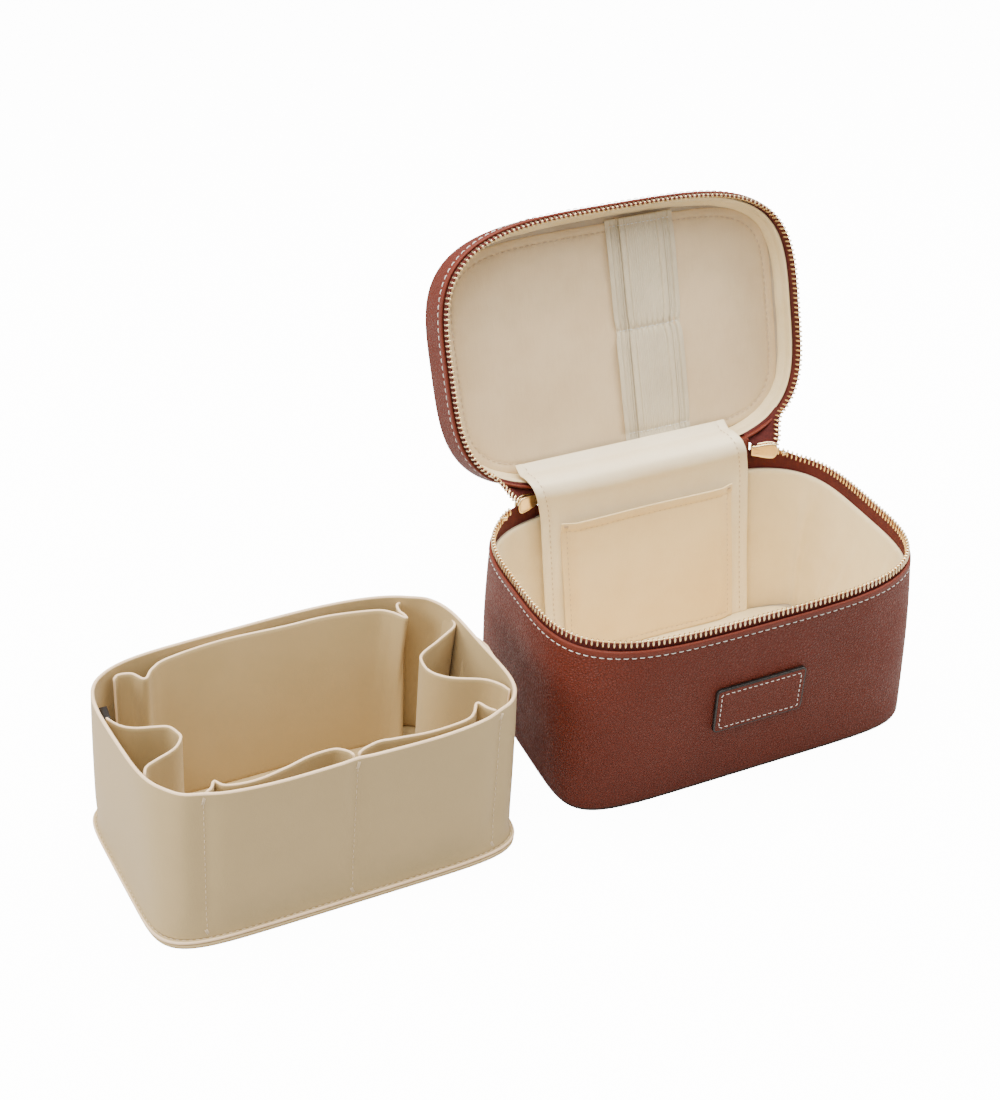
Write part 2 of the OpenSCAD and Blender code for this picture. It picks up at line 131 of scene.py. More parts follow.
def spline(points, count):
    """Evenly spaced points on the Catmull-Rom curve through the given ones."""
    p = np.asarray(points, float)
    q = np.vstack([2 * p[0] - p[1], p, 2 * p[-1] - p[-2]])
    t = np.linspace(0, len(p) - 1, 60 * len(p))
    i = np.minimum(t.astype(int), len(p) - 2)
    f = (t - i)[:, None]
    a, b, c, d = q[i], q[i + 1], q[i + 2], q[i + 3]
    dense = 0.5 * (2 * b + (c - a) * f + (2 * a - 5 * b + 4 * c - d) * f**2 + (3 * b - a - 3 * c + d) * f**3)
    return resample(dense, count)


def length(points):
    """The length of a polyline."""
    return np.linalg.norm(np.diff(points, axis=0), axis=1).sum()


def soft_curve(half_w, half_d, power, start=0.0):
    """The closed outline |x/a|^n + |y/b|^n = 1, anticlockwise from the angle start, finely sampled."""
    t = np.linspace(0, 2 * np.pi, 3001) + start
    c, s = np.cos(t), np.sin(t)
    x = half_w * np.sign(c) * abs(c) ** (2 / power)
    y = half_d * np.sign(s) * abs(s) ** (2 / power)
    return np.stack([x, y], 1)


def outward(points, closed=True):
    """Unit normals to the right of an anticlockwise plan path."""
    d = np.roll(points, -1, 0) - np.roll(points, 1, 0) if closed else np.gradient(points, axis=0)
    n = np.stack([d[:, 1], -d[:, 0]], 1)
    return n / np.linalg.norm(n, axis=1)[:, None]


def walls(shape, profile, count, part=None):
    """A grid whose rows are outlines: row k is shape(z) drawn in by an inset, for (inset, z) in profile.

    part keeps a stretch of each outline, as two fractions of its length, from the middle of the back.
    """
    rows = []
    for inset, z in profile:
        curve = soft_curve(*shape(z), start=np.pi / 2)
        if part is None:
            p = resample(curve, count + 1)[:-1]
            n = outward(p)
        else:
            fine = resample(curve, 3001)
            lo, hi = (int(3000 * f) for f in part)
            p = resample(fine[lo:hi + 1], count)
            n = outward(p, False)
        q = p - n * inset
        if shape is lid_shape:
            q = lean_front(q, z)
        rows.append(np.column_stack([q, np.full(len(q), z)]))
    return np.array(rows)


def lean_front(p, z):
    """The lid's plan points at height z with the front half, y below 0, drawn in by up to the taper."""
    up = np.clip((z - LID_Z) / (LID_H - LID_EDGE), 0, 1)
    keep = 1 - LID_TAPER * up / RIM_D
    return np.column_stack([p[:, 0], p[:, 1] * np.where(p[:, 1] < 0, keep, 1)])


def body_shape(z):
    """Half width, half depth and power of the body's outline at height z."""
    t = min(1.0, z / RIM_Z)
    return mix(BASE_W, RIM_W, t), mix(BASE_D, RIM_D, t), mix(BASE_POWER, RIM_POWER, t)


def lid_shape(z):
    """The same for the closed lid, which flares a little and has a rounded top edge."""
    h, over = max(0.0, z - LID_Z), max(0.0, z - (LID_TOP - LID_EDGE))
    out = LID_FLARE * min(1.0, h / (LID_H - LID_EDGE)) - LID_EDGE + math.sqrt(max(0.0, LID_EDGE**2 - over**2))
    return RIM_W + out, RIM_D + out, RIM_POWER


def opened(p):
    """Points of the closed lid, turned about the hinge to where they lie at rest."""
    y, z = p[..., 1] - HINGE_Y, p[..., 2] - HINGE_Z
    c, s = math.cos(OPEN), math.sin(OPEN)
    return np.stack([p[..., 0], HINGE_Y + y * c + z * s, HINGE_Z - y * s + z * c], -1)


def open_direction(v):
    """A direction on the closed lid, turned the way opened() turns points."""
    c, s = math.cos(OPEN), math.sin(OPEN)
    return np.stack([v[..., 0], v[..., 1] * c + v[..., 2] * s, -v[..., 1] * s + v[..., 2] * c], -1)


def beside_case(p):
    """The organiser's own points, leant and moved to where it stands."""
    x, y, z = p[..., 0], p[..., 1], p[..., 2]
    moved_x = x + ORG_SKEW * y + ORG_LEAN_X * z / ORG_H + ORG_X
    return np.stack([moved_x, y + ORG_LEAN_Y * z / ORG_H + ORG_Y, z], -1)


def ripple(s, waves, seed):
    """A smooth wavy line, about -1 to 1, that repeats as s runs from 0 to 1."""
    rng = np.random.default_rng(seed)
    phase = rng.uniform(0, 2 * np.pi, len(waves))
    size = 1 / np.sqrt(np.arange(1, len(waves) + 1))
    return sum(a * np.sin(2 * np.pi * k * s + f) for a, k, f in zip(size, waves, phase)) / size.sum()


def grid_normals(g, closed):
    """Unit normals of a grid: across the columns, then up the rows."""
    du = np.roll(g, -1, 1) - np.roll(g, 1, 1) if closed else np.gradient(g, axis=1)
    dv = np.gradient(g, axis=0)
    n = np.cross(du, dv)
    return n / np.maximum(np.linalg.norm(n, axis=2), 1e-9)[..., None]


# ---------------------------------------------------------------- meshes


def grid_faces(rows, cols, closed):
    """Four corner numbers for each cell of a grid; a closed one joins its last column to its first."""
    i, j = np.meshgrid(np.arange(rows - 1), np.arange(cols if closed else cols - 1), indexing="ij")
    i, j = i.ravel(), j.ravel()
    k = (j + 1) % cols
    faces = np.stack([i * cols + j, i * cols + k, (i + 1) * cols + k, (i + 1) * cols + j], 1)
    return faces, np.stack([j, j + 1, j + 1, j], 1), np.stack([i, i, i + 1, i + 1], 1)


def grid_patch(g, closed=False, uv=None, flip=False, slot=0):
    """A grid as vertices, faces, one UV for each corner in metres, and a material slot."""
    rows, cols = g.shape[:2]
    faces, cj, ci = grid_faces(rows, cols, closed)
    if uv is None:
        ring = np.concatenate([g, g[:, :1]], 1) if closed else g
        u = np.r_[0, np.cumsum(np.linalg.norm(np.diff(ring[rows // 2], axis=0), axis=1))]
        v = np.r_[0, np.cumsum(np.linalg.norm(np.diff(g, axis=0), axis=2).mean(1))]
        corner = np.stack([u[cj], v[ci]], -1)
    else:
        corner = uv.reshape(-1, 2)[faces]
    if flip:
        faces, corner = faces[:, ::-1], corner[:, ::-1]
    return g.reshape(-1, 3), faces, corner, np.full(len(faces), slot)


def sheet_patches(g, thick, closed=False, uv=None, edge_slot=0, round_out=0.45):
    """A grid made into a sheet with two faces and a rounded edge all round it."""
    rows, cols = g.shape[:2]
    n = grid_normals(g, closed)
    front, back = g + n * thick / 2, g - n * thick / 2
    out = [grid_patch(front, closed, uv), grid_patch(back, closed, uv, flip=True)]

    def rim(f, b, inner):
        away = f - inner
        away /= np.maximum(np.linalg.norm(away, axis=1), 1e-9)[:, None]
        middle = (f + b) / 2 + away * thick * round_out
        quarter_f, quarter_b = (f + middle) / 2 + away * thick * 0.12, (b + middle) / 2 + away * thick * 0.12
        return np.array([f, quarter_f, middle, quarter_b, b])

    if closed:
        out.append(grid_patch(rim(front[0], back[0], front[1])[::-1], True, slot=edge_slot))
        out.append(grid_patch(rim(front[-1], back[-1], front[-2]), True, slot=edge_slot))
        return out
    index = np.arange(rows * cols).reshape(rows, cols)
    loop = np.r_[index[0, :], index[1:, -1], index[-1, -2::-1], index[-2:0:-1, 0]]
    near = np.r_[index[1, :], index[1:, -2], index[-2, -2::-1], index[-2:0:-1, 1]]
    near[0], near[cols - 1] = index[1, 1], index[1, -2]
    near[cols + rows - 2], near[2 * cols + rows - 3] = index[-2, -2], index[-2, 1]
    f, b = front.reshape(-1, 3), back.reshape(-1, 3)
    out.append(grid_patch(rim(f[loop], b[loop], f[near])[::-1], True, slot=edge_slot))
    return out


def disc_patch(rings, uv=None, flip=False, slot=0):
    """Rings drawn in to a middle point, closed there by a fan."""
    rows, cols = rings.shape[:2]
    v, faces, corner, slots = grid_patch(rings, True, uv, flip, slot)
    middle = rings[-1].mean(0)
    last = (rows - 1) * cols + np.arange(cols)
    fan = np.stack([last, np.roll(last, -1), np.full(cols, rows * cols), np.full(cols, rows * cols)], 1)
    flat = np.vstack([v, middle])
    uvs = (np.vstack([uv.reshape(-1, 2), uv[-1].mean(0)]) if uv is not None else flat[:, :2] * 1.0)
    if uv is None:
        corner = uvs[faces]
    fan_uv = uvs[fan]
    if flip:
        fan, fan_uv = fan[:, ::-1], fan_uv[:, ::-1]
    return flat, np.vstack([faces, fan]), np.vstack([corner, fan_uv]), np.r_[slots, np.full(cols, slot)]


def mesh(name, patches, materials, smooth=True):
    """Joins patches into one object, in metres, merging the points that they share.

    A face whose third and fourth points, or first and second, are one point is a triangle.
    """
    verts = np.vstack([p[0] for p in patches]) * MM
    offsets = np.cumsum([0] + [len(p[0]) for p in patches[:-1]])
    faces = np.vstack([p[1] + o for p, o in zip(patches, offsets)])
    first, same = np.unique(np.round(verts, 7), axis=0, return_index=True, return_inverse=True)[1:]
    verts, faces = verts[first], same.reshape(-1)[faces]
    corners = np.vstack([p[2] for p in patches]) * MM
    slots = np.concatenate([p[3] for p in patches])
    keep = np.ones((len(faces), 4), bool)
    keep[faces[:, 2] == faces[:, 3], 3] = False
    keep[faces[:, 0] == faces[:, 1], 1] = False
    sides = keep.sum(1)
    data = bpy.data.meshes.new(name)
    data.vertices.add(len(verts))
    data.loops.add(int(sides.sum()))
    data.polygons.add(len(faces))
    data.vertices.foreach_set("co", verts.astype(np.float32).ravel())
    data.loops.foreach_set("vertex_index", faces[keep].astype(np.int32))
    data.polygons.foreach_set("loop_start", (np.cumsum(sides) - sides).astype(np.int32))
    data.uv_layers.new(name="metres").data.foreach_set("uv", corners[keep].astype(np.float32).ravel())
    data.polygons.foreach_set("material_index", slots.astype(np.int32))
    data.polygons.foreach_set("use_smooth", np.full(len(faces), smooth))
    for m in materials:
        data.materials.append(m)
    data.update(calc_edges=True)
    data.validate()
    obj = bpy.data.objects.new(name, data)
    bpy.context.scene.collection.objects.link(obj)
    return obj


def piece(name, patches, materials, body, slot, *nodes, smooth=True):
    """A finished piece that rides on a body and stands for its CAD nodes."""
    obj = mesh(name, patches, materials if isinstance(materials, list) else [materials], smooth)
    if body:
        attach(obj, body)
    if nodes:
        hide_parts(*nodes)
    return obj


def copies(template, faces, centres, along, across, up):
    """One small shape repeated: its x, y and z run along, across and up at each centre."""
    v = (centres[:, None] + template[None, :, :1] * along[:, None] + template[None, :, 1:2] * across[:, None]
         + template[None, :, 2:] * up[:, None])
    f = (faces[None] + (np.arange(len(centres)) * len(template))[:, None, None]).reshape(-1, 4)
    uv = np.tile(template[faces][..., :2], (len(centres), 1, 1))
    return v.reshape(-1, 3), f, uv, np.zeros(len(f), int)


def loft(rings):
    """Vertices and faces of stacked rings with flat ends made of fans of quads."""
    rows, cols = rings.shape[:2]
    faces = grid_faces(rows, cols, True)[0]
    v = np.vstack([rings.reshape(-1, 3), rings[0].mean(0), rings[-1].mean(0)])
    j = np.arange(cols)
    low, high = np.full(cols, rows * cols), np.full(cols, rows * cols + 1)
    top = (rows - 1) * cols
    bottom_fan = np.stack([(j + 1) % cols, j, low, low], 1)
    top_fan = np.stack([top + j, top + (j + 1) % cols, high, high], 1)
    return v, np.vstack([faces, bottom_fan, top_fan])


def unit(v):
    """Vectors divided by their own lengths."""
    return v / np.linalg.norm(v, axis=-1, keepdims=True)


def thread_shape(half_length, radius):
    """A short arched thread: round sections along x, sunk at both ends."""
    s = np.array([-1, -0.93, -0.62, 0, 0.62, 0.93, 1])
    r = radius * np.array([0.3, 0.75, 1, 1, 1, 0.75, 0.3])
    a = np.linspace(0, 2 * np.pi, 7)[:-1]
    rings = np.stack([
        np.broadcast_to((s * half_length)[:, None], (7, 6)),
        r[:, None] * np.cos(a),
        r[:, None] * np.sin(a) * 0.8 + radius * (0.55 - 1.1 * s[:, None] ** 4),
    ], -1)
    return loft(rings)


def stitch_row(path, normals, pitch=STITCH, dash=0.62, radius=0.3, slant=0.0):
    """Threads every pitch along a path that lies on a surface with those normals."""
    count = max(2, int(round(length(path) / pitch)))
    both = resample(np.column_stack([path, normals]), 2 * count + 1)[1::2]
    centres, up = both[:, :3], unit(both[:, 3:])
    tangent = unit(np.gradient(both[:, :3], axis=0))
    across = np.cross(up, tangent)
    along = unit(tangent + slant * across)
    v, f = thread_shape(pitch * dash / 2, radius)
    return copies(v, f, centres, along, np.cross(up, along), up)


def bar_tack(centre, along, up, size=3.2, radius=0.28):
    """A short dense bar of threads laid side by side."""
    v, f = thread_shape(size / 2, radius)
    side = np.cross(up, along)
    offsets = np.array([-0.5, 0, 0.5])[:, None] * side
    n = len(offsets)
    tile = lambda w: np.tile(w, (n, 1))
    return copies(v, f, centre + offsets, tile(along), tile(side), tile(up))


# ---------------------------------------------------------------- materials


def add(tree, kind, sockets=None, **settings):
    """Adds a node; sockets gives its inputs as values, or as outputs to link from."""
    n = tree.nodes.new(kind)
    for k, v in settings.items():
        setattr(n, k, v)
    for k, v in (sockets or {}).items():
        if isinstance(v, bpy.types.NodeSocket):
            tree.links.new(v, n.inputs[k])
        else:
            n.inputs[k].default_value = v
    return n


def maths(tree, operation, *values):
    """One Math node; numbers are set on it and sockets are linked to it."""
    return add(tree, "ShaderNodeMath", dict(enumerate(values)), operation=operation).outputs[0]


def ramp(tree, value, low, high):
    """The value taken from low..high to 0..1, with smooth ends."""
    return add(tree, "ShaderNodeMapRange", {"Value": value, "From Min": low, "From Max": high},
               interpolation_type="SMOOTHSTEP").outputs[0]


def blend_colors(tree, factor, a, b, how="MIX"):
    """Mixes color a towards b by the factor."""
    n = tree.nodes.new("ShaderNodeMix")
    n.data_type, n.blend_type = "RGBA", how
    for k, v in ((0, factor), (6, a), (7, b)):
        if isinstance(v, bpy.types.NodeSocket):
            tree.links.new(v, n.inputs[k])
        else:
            n.inputs[k].default_value = v if k == 0 else (*v, 1)
    return n.outputs[2]


def noise(tree, vector, scale, detail=3.0, rough=0.55):
    """The height of fractal noise at a vector."""
    return add(tree, "ShaderNodeTexNoise",
               {"Vector": vector, "Scale": scale, "Detail": detail, "Roughness": rough}).outputs["Fac"]


def group(name, inputs, outputs, build):
    """A node group; build(tree, inputs) returns its outputs in order."""
    tree = bpy.data.node_groups.new(name, "ShaderNodeTree")
    for label, kind, value in inputs:
        socket = tree.interface.new_socket(label, in_out="INPUT", socket_type=kind)
        if value is not None:
            socket.default_value = value
    for label, kind in outputs:
        tree.interface.new_socket(label, in_out="OUTPUT", socket_type=kind)
    source, sink = tree.nodes.new("NodeGroupInput"), tree.nodes.new("NodeGroupOutput")
    for k, v in enumerate(build(tree, source.outputs)):
        tree.links.new(v, sink.inputs[k])
    return tree


def pebble_build(tree, given):
    """Rounded pebbles with fine creases between them, softened, over broad rises and dips."""
    at = given["Vector"]
    wobble = add(tree, "ShaderNodeTexNoise", {"Vector": at, "Scale": 900.0, "Detail": 2.0}).outputs["Color"]
    bent = add(tree, "ShaderNodeVectorMath", {0: wobble, "Scale": 0.0006}, operation="SCALE").outputs[0]
    moved = add(tree, "ShaderNodeVectorMath", {0: at, 1: bent}, operation="ADD").outputs[0]
    cell = add(tree, "ShaderNodeTexVoronoi", {"Vector": moved, "Scale": given["Scale"]},
               feature="DISTANCE_TO_EDGE").outputs["Distance"]
    tone = add(tree, "ShaderNodeTexVoronoi", {"Vector": moved, "Scale": given["Scale"]}).outputs["Color"]
    pebble = ramp(tree, cell, 0.0, 0.32)
    fine = noise(tree, at, 3200.0, 2.0)
    height = maths(tree, "ADD", pebble, maths(tree, "MULTIPLY", fine, 0.25))
    crease = maths(tree, "SUBTRACT", 1.0, ramp(tree, cell, 0.0, 0.16))
    broad = noise(tree, at, 22.0, 4.0, 0.5)
    return height, crease, broad, tone


PEBBLES = group("pebbled leather",
                [("Vector", "NodeSocketVector", None), ("Scale", "NodeSocketFloat", 900.0)],
                [("Height", "NodeSocketFloat"), ("Crease", "NodeSocketFloat"), ("Broad", "NodeSocketFloat"),
                 ("Tone", "NodeSocketColor")], pebble_build)


def weave_build(tree, given):
    """Two crossing sets of round threads, one over the other in turn; Twill shifts each row along."""
    parts = add(tree, "ShaderNodeSeparateXYZ", {0: given["Vector"]}).outputs
    u = maths(tree, "MULTIPLY", parts[0], given["Threads"])
    v = maths(tree, "MULTIPLY", parts[1], given["Threads"])
    slip = maths(tree, "MULTIPLY", maths(tree, "FLOOR", v), given["Twill"])
    over = maths(tree, "SINE", maths(tree, "MULTIPLY", maths(tree, "ADD", u, slip), math.pi))
    warp = maths(tree, "ABSOLUTE", maths(tree, "SINE", maths(tree, "MULTIPLY", u, math.pi)))
    weft = maths(tree, "ABSOLUTE", maths(tree, "SINE", maths(tree, "MULTIPLY", v, math.pi)))
    side = ramp(tree, over, -0.35, 0.35)
    height = maths(tree, "ADD", maths(tree, "MULTIPLY", warp, side),
                   maths(tree, "MULTIPLY", weft, maths(tree, "SUBTRACT", 1.0, side)))
    fuzz = noise(tree, given["Vector"], 2600.0, 2.0)
    slub = add(tree, "ShaderNodeTexNoise", {
        "Vector": add(tree, "ShaderNodeCombineXYZ", {0: maths(tree, "MULTIPLY", u, 0.9), 1: maths(tree, "MULTIPLY", v, 0.03)}).outputs[0],
        "Scale": 1.0, "Detail": 2.0}).outputs["Fac"]
    return maths(tree, "ADD", height, maths(tree, "MULTIPLY", fuzz, 0.3)), slub


WEAVE = group("woven threads", [("Vector", "NodeSocketVector", None), ("Threads", "NodeSocketFloat", 2600.0),
                                ("Twill", "NodeSocketFloat", 1.0)],
              [("Height", "NodeSocketFloat"), ("Slub", "NodeSocketFloat")], weave_build)


def wear_build(tree, given):
    """Broad cloudy marks and small specks, for slight changes of colour and shine."""
    cloud = ramp(tree, noise(tree, given["Vector"], 38.0, 5.0, 0.6), 0.3, 0.7)
    speck = ramp(tree, noise(tree, given["Vector"], 700.0, 2.0, 0.5), 0.62, 0.74)
    return cloud, speck


WEAR = group("wear", [("Vector", "NodeSocketVector", None)],
             [("Cloud", "NodeSocketFloat"), ("Speck", "NodeSocketFloat")], wear_build)


def material(name, rough, **constants):
    """A new material, its node tree, its shader, object coordinates and its pieces' UV in metres."""
    m = bpy.data.materials.new(name)
    m.use_nodes = True
    tree = m.node_tree
    shader = tree.nodes["Principled BSDF"]
    shader.inputs["Roughness"].default_value = rough
    for k, v in constants.items():
        shader.inputs[k.replace("_", " ")].default_value = v
    at = add(tree, "ShaderNodeTexCoord").outputs["Object"]
    uv = add(tree, "ShaderNodeUVMap", uv_map="metres").outputs["UV"]
    return m, tree, shader, at, uv


def finish_surface(tree, shader, color=None, rough=None, height=None, depth=0.0001, strength=1.0):
    """Links colour, roughness and a bump, depth metres high, to the shader."""
    if color is not None:
        tree.links.new(color, shader.inputs["Base Color"])
    if rough is not None:
        tree.links.new(rough, shader.inputs["Roughness"])
    if height is not None:
        n = add(tree, "ShaderNodeBump", {"Height": height, "Distance": depth, "Strength": strength})
        tree.links.new(n.outputs[0], shader.inputs["Normal"])


def use(tree, made, **sockets):
    """Adds a node group to a material and returns its outputs."""
    n = tree.nodes.new("ShaderNodeGroup")
    n.node_tree = made
    for k, v in sockets.items():
        if isinstance(v, bpy.types.NodeSocket):
            tree.links.new(v, n.inputs[k])
        else:
            n.inputs[k].default_value = v
    return n.outputs


def leather_material(name, deep, light, rough=0.46, pebble=950.0, depth=0.00012):
    """Pebbled leather: painted shade darkening the creases between pebbles, deep to light colour in broad noise
    clouds, a bump for the grain.
    """
    m, tree, shader, at, uv = material(name, rough, Specular_IOR_Level=0.26)
    grain = use(tree, PEBBLES, Vector=at, Scale=pebble)
    wear = use(tree, WEAR, Vector=at)
    base = blend_colors(tree, ramp(tree, grain["Broad"], 0.1, 0.9), deep, light)
    # painted shade: the creases between pebbles are darkened towards half the deep colour
    base = blend_colors(tree, maths(tree, "MULTIPLY", grain["Crease"], 0.28), base, [c * 0.5 for c in deep])
    base = blend_colors(tree, 0.03, base, grain["Tone"], "SOFT_LIGHT")
    cloud = maths(tree, "SUBTRACT", wear["Cloud"], 0.5)
    shine = maths(tree, "ADD", rough, maths(tree, "MULTIPLY", cloud, 0.1))
    shine = maths(tree, "ADD", shine, maths(tree, "MULTIPLY", grain["Crease"], 0.18))
    finish_surface(tree, shader, base, shine, grain["Height"], depth)
    return m


def cloth_material(name, deep, light, rough, threads, depth, twill=1.0, **constants):
    """Woven cloth: the threads' height sets both the bump and the change from deep to light, which is painted shade
    darkening the gaps between threads.
    """
    m, tree, shader, at, uv = material(name, rough, **constants)
    cloth = use(tree, WEAVE, Vector=uv, Threads=threads, Twill=twill)
    wear = use(tree, WEAR, Vector=at)
    # painted shade: colour follows the threads' height, darker in the gaps between threads
    painted_thread_shade = maths(tree, "MULTIPLY", cloth["Height"], 0.45)
    tone = maths(tree, "ADD", painted_thread_shade, maths(tree, "MULTIPLY", wear["Cloud"], 0.25))
    tone = maths(tree, "ADD", tone, maths(tree, "MULTIPLY", cloth["Slub"], 0.4))
    base = blend_colors(tree, ramp(tree, tone, 0.2, 0.95), deep, light)
    finish_surface(tree, shader, base, None, cloth["Height"], depth)
    return m


def plain_material(name, deep, light, rough, grain=1500.0, depth=0.00002, **constants):
    """A smooth surface with a very fine grain and faint cloudy changes."""
    m, tree, shader, at, uv = material(name, rough, **constants)
    wear = use(tree, WEAR, Vector=at)
    fine = noise(tree, at, grain, 3.0)
    base = blend_colors(tree, wear["Cloud"], deep, light)
    shine = maths(tree, "ADD", rough - 0.04, maths(tree, "MULTIPLY", wear["Cloud"], 0.08))
    finish_surface(tree, shader, base, shine, fine, depth)
    return m


LEATHER = leather_material("chestnut leather",
                           (0.116, 0.0168, 0.0068), (0.134, 0.0205, 0.0086), 0.44, 560.0, 0.00042)
RIM_LEATHER = leather_material("chestnut leather, rolled",
                               (0.125, 0.019, 0.0085), (0.155, 0.026, 0.012), 0.42, 1200.0, 0.00008)
BLACK = plain_material("black edge paint", (0.006, 0.005, 0.005), (0.013, 0.010, 0.009), 0.34, 900.0, 0.00006)
SATIN = cloth_material("cream satin", (0.71, 0.56, 0.30), (0.87, 0.72, 0.44), 0.42, 5200.0, 0.00002, 0.4,
                       Sheen_Weight=0.35, Sheen_Roughness=0.35)
FLAP_SATIN = cloth_material("cream flap satin",
                            (0.80, 0.65, 0.41), (0.92, 0.81, 0.57), 0.38, 5200.0, 0.000015, 0.4,
                            Sheen_Weight=0.4, Sheen_Roughness=0.3)
PANEL = cloth_material("pinkish beige fabric",
                       (0.66, 0.48, 0.27), (0.80, 0.62, 0.38), 0.6, 2600.0, 0.00007, 1.0,
                       Sheen_Weight=0.25, Sheen_Roughness=0.5)
POCKET = cloth_material("pocket satin", (0.78, 0.57, 0.27), (0.90, 0.71, 0.39), 0.45, 4200.0, 0.00003, 0.5,
                        Sheen_Weight=0.3, Sheen_Roughness=0.4)
ELASTIC = cloth_material("ribbed elastic", (0.56, 0.47, 0.32), (0.74, 0.65, 0.46), 0.62, 1500.0, 0.00012, 1.0,
                         Sheen_Weight=0.2, Sheen_Roughness=0.5)
TAPE = cloth_material("burgundy twill tape",
                      (0.045, 0.007, 0.006), (0.110, 0.018, 0.015), 0.7, 1900.0, 0.00012, 0.5,
                      Specular_IOR_Level=0.2)
SHEET = plain_material("beige imitation leather",
                       (0.445, 0.325, 0.152), (0.465, 0.34, 0.162), 0.5, 1700.0, 0.000035,
                       Sheen_Weight=0.1)
CUT_EDGE = plain_material("cut edge", (0.78, 0.56, 0.34), (0.86, 0.65, 0.42), 0.6, 1200.0, 0.00004)
BOARD = plain_material("stiffening board", (0.42, 0.34, 0.24), (0.50, 0.42, 0.31), 0.85, 900.0, 0.00008)
FOAM = plain_material("padding", (0.80, 0.76, 0.68), (0.86, 0.83, 0.76), 0.9, 1300.0, 0.0002)
THREAD = cloth_material("white thread", (0.72, 0.68, 0.62), (0.90, 0.87, 0.82), 0.6, 3500.0, 0.00005)
ORG_THREAD = cloth_material("beige thread", (0.60, 0.47, 0.30), (0.76, 0.62, 0.43), 0.6, 3500.0, 0.00005)
# cream thread darkened below its own colour as painted shade, for the seams on the satin, the flap, the pocket and the
# lid panel
SHADED_CREAM_THREAD = cloth_material("cream thread, darkened as painted shade", (0.50, 0.37, 0.23), (0.64, 0.49, 0.33), 0.6, 3500.0, 0.00005)


def gold_material():
    """Light gold, faintly brushed, with darker specks."""
    m, tree, shader, at, uv = material("light gold", 0.2, Metallic=1.0)
    wear = use(tree, WEAR, Vector=at)
    brushed = add(tree, "ShaderNodeMapping", {0: at, "Scale": (1.0, 1.0, 12.0)}).outputs[0]
    lines = noise(tree, brushed, 1400.0, 2.0)
    base = blend_colors(tree, wear["Cloud"], (0.88, 0.66, 0.36), (0.96, 0.80, 0.52))
    base = blend_colors(tree, maths(tree, "MULTIPLY", wear["Speck"], 0.35), base, (0.45, 0.26, 0.12))
    shine = maths(tree, "ADD", 0.15, maths(tree, "MULTIPLY", lines, 0.14))
    finish_surface(tree, shader, base, shine, lines, 0.000006)
    return m


GOLD = gold_material()

# ---------------------------------------------------------------- the case's body


def soften(g, size, waves, seed, low, high):
    """Moves a closed wall in and out by a slow ripple, fading to nothing at heights low and high."""
    rows, cols = g.shape[:2]
    s = np.arange(cols) / cols
    z = g[:, :, 2]
    n = outward(g[0, :, :2])
    fade = ease((z - low) / 12) * ease((high - z) / 12)
    move = size * fade * (ripple(s, waves, seed)[None] + 0.5 * ripple(s + z / 400, waves[::-1], seed + 1))
    g[:, :, :2] += move[..., None] * n[None]
    return g


def leather_profile(z0, z1, groove_at, thick=1.4, way=1.0, base=None):
    """Section of a leather wall from z0 to its rim at z1: (inset, z), with the topstitch groove.

    The leather stands plump between the groove and the rim, turns over the rim in a half circle,
    and runs 6 mm down inside.
    """
    z_wall = np.linspace(z0, groove_at - 2.0 * way, 18)
    z_groove = np.linspace(groove_at - 1.5 * way, groove_at + 1.5 * way, 9)
    r = thick / 2 + 0.15
    z_roll = np.array([groove_at + 2.1 * way, z1 - (r + 0.35) * way, z1 - r * way])
    z = np.r_[z_wall, z_groove, z_roll]
    inset = 0.42 * bump(z, groove_at, 0.62) - 0.3 * ease((z - groove_at) * way / 1.2)
    a = np.radians(np.linspace(30, 180, 6))
    turn = np.column_stack([-0.3 + r - r * np.cos(a), z1 - r * way + r * way * np.sin(a)])
    inside = np.column_stack([np.full(3, -0.3 + 2 * r), z1 - way * np.array([r + 1.0, 3.5, 6.0])])
    return np.vstack([np.column_stack([inset, z]), turn, inside])


STITCH_Z = RIM_Z - 4.0


def body_skin():
    """The outer leather, from its tucked-in foot to the roll over the rim."""
    foot = [(1.0, BASE_T + 0.02), (0.35, BASE_T + 0.15), (0.08, BASE_T + 0.6), (0.0, BASE_T + 1.5)]
    profile = np.vstack([foot, leather_profile(6.0, RIM_Z, STITCH_Z)])
    g = walls(body_shape, profile, 1240)
    g = soften(g, 0.22, [1, 2, 3, 5, 8], 4, 6, STITCH_Z - 3)
    g = dimples(g, STITCH_Z, RIM_LENGTH)
    roll = np.where(profile[:-1, 1] > STITCH_Z + 0.4)[0][0]
    outer, rim = g[:roll + 1], g[roll:]
    piece("body_leather_skin", [grid_patch(outer, True), grid_patch(rim, True, slot=1)],
          [LEATHER, RIM_LEATHER], "case", "leather", "body_leather")


def dimples(g, z, run, pitch=STITCH):
    """Presses the groove in at each thread's end, so that the leather rises a little between them."""
    cols = g.shape[1]
    count = round(run / pitch)
    s = np.arange(cols) / cols * count
    n = outward(g[0, :, :2])
    press = 0.14 * np.cos(2 * np.pi * s)[None] * bump(g[:, :, 2], z, 1.0)
    g[:, :, :2] += (press)[..., None] * n[None]
    return g


def rim_path(shape, z, inset, part=None, count=3000):
    """A path round a wall at one height, and its outward normals."""
    curve = soft_curve(*shape(z), start=np.pi / 2)
    p = resample(curve, count + 1)
    if part is not None:
        p = resample(p[int(part[0] * count):int(part[1] * count) + 1], count)
    n = outward(p[:-1]) if part is None else outward(p, False)
    if part is None:
        n = np.vstack([n, n[:1]])
    q = p - n * inset
    return np.column_stack([q, np.full(len(q), z)]), np.column_stack([n, np.zeros(len(n))])


RIM_LENGTH = length(rim_path(body_shape, STITCH_Z, 0.0)[0])


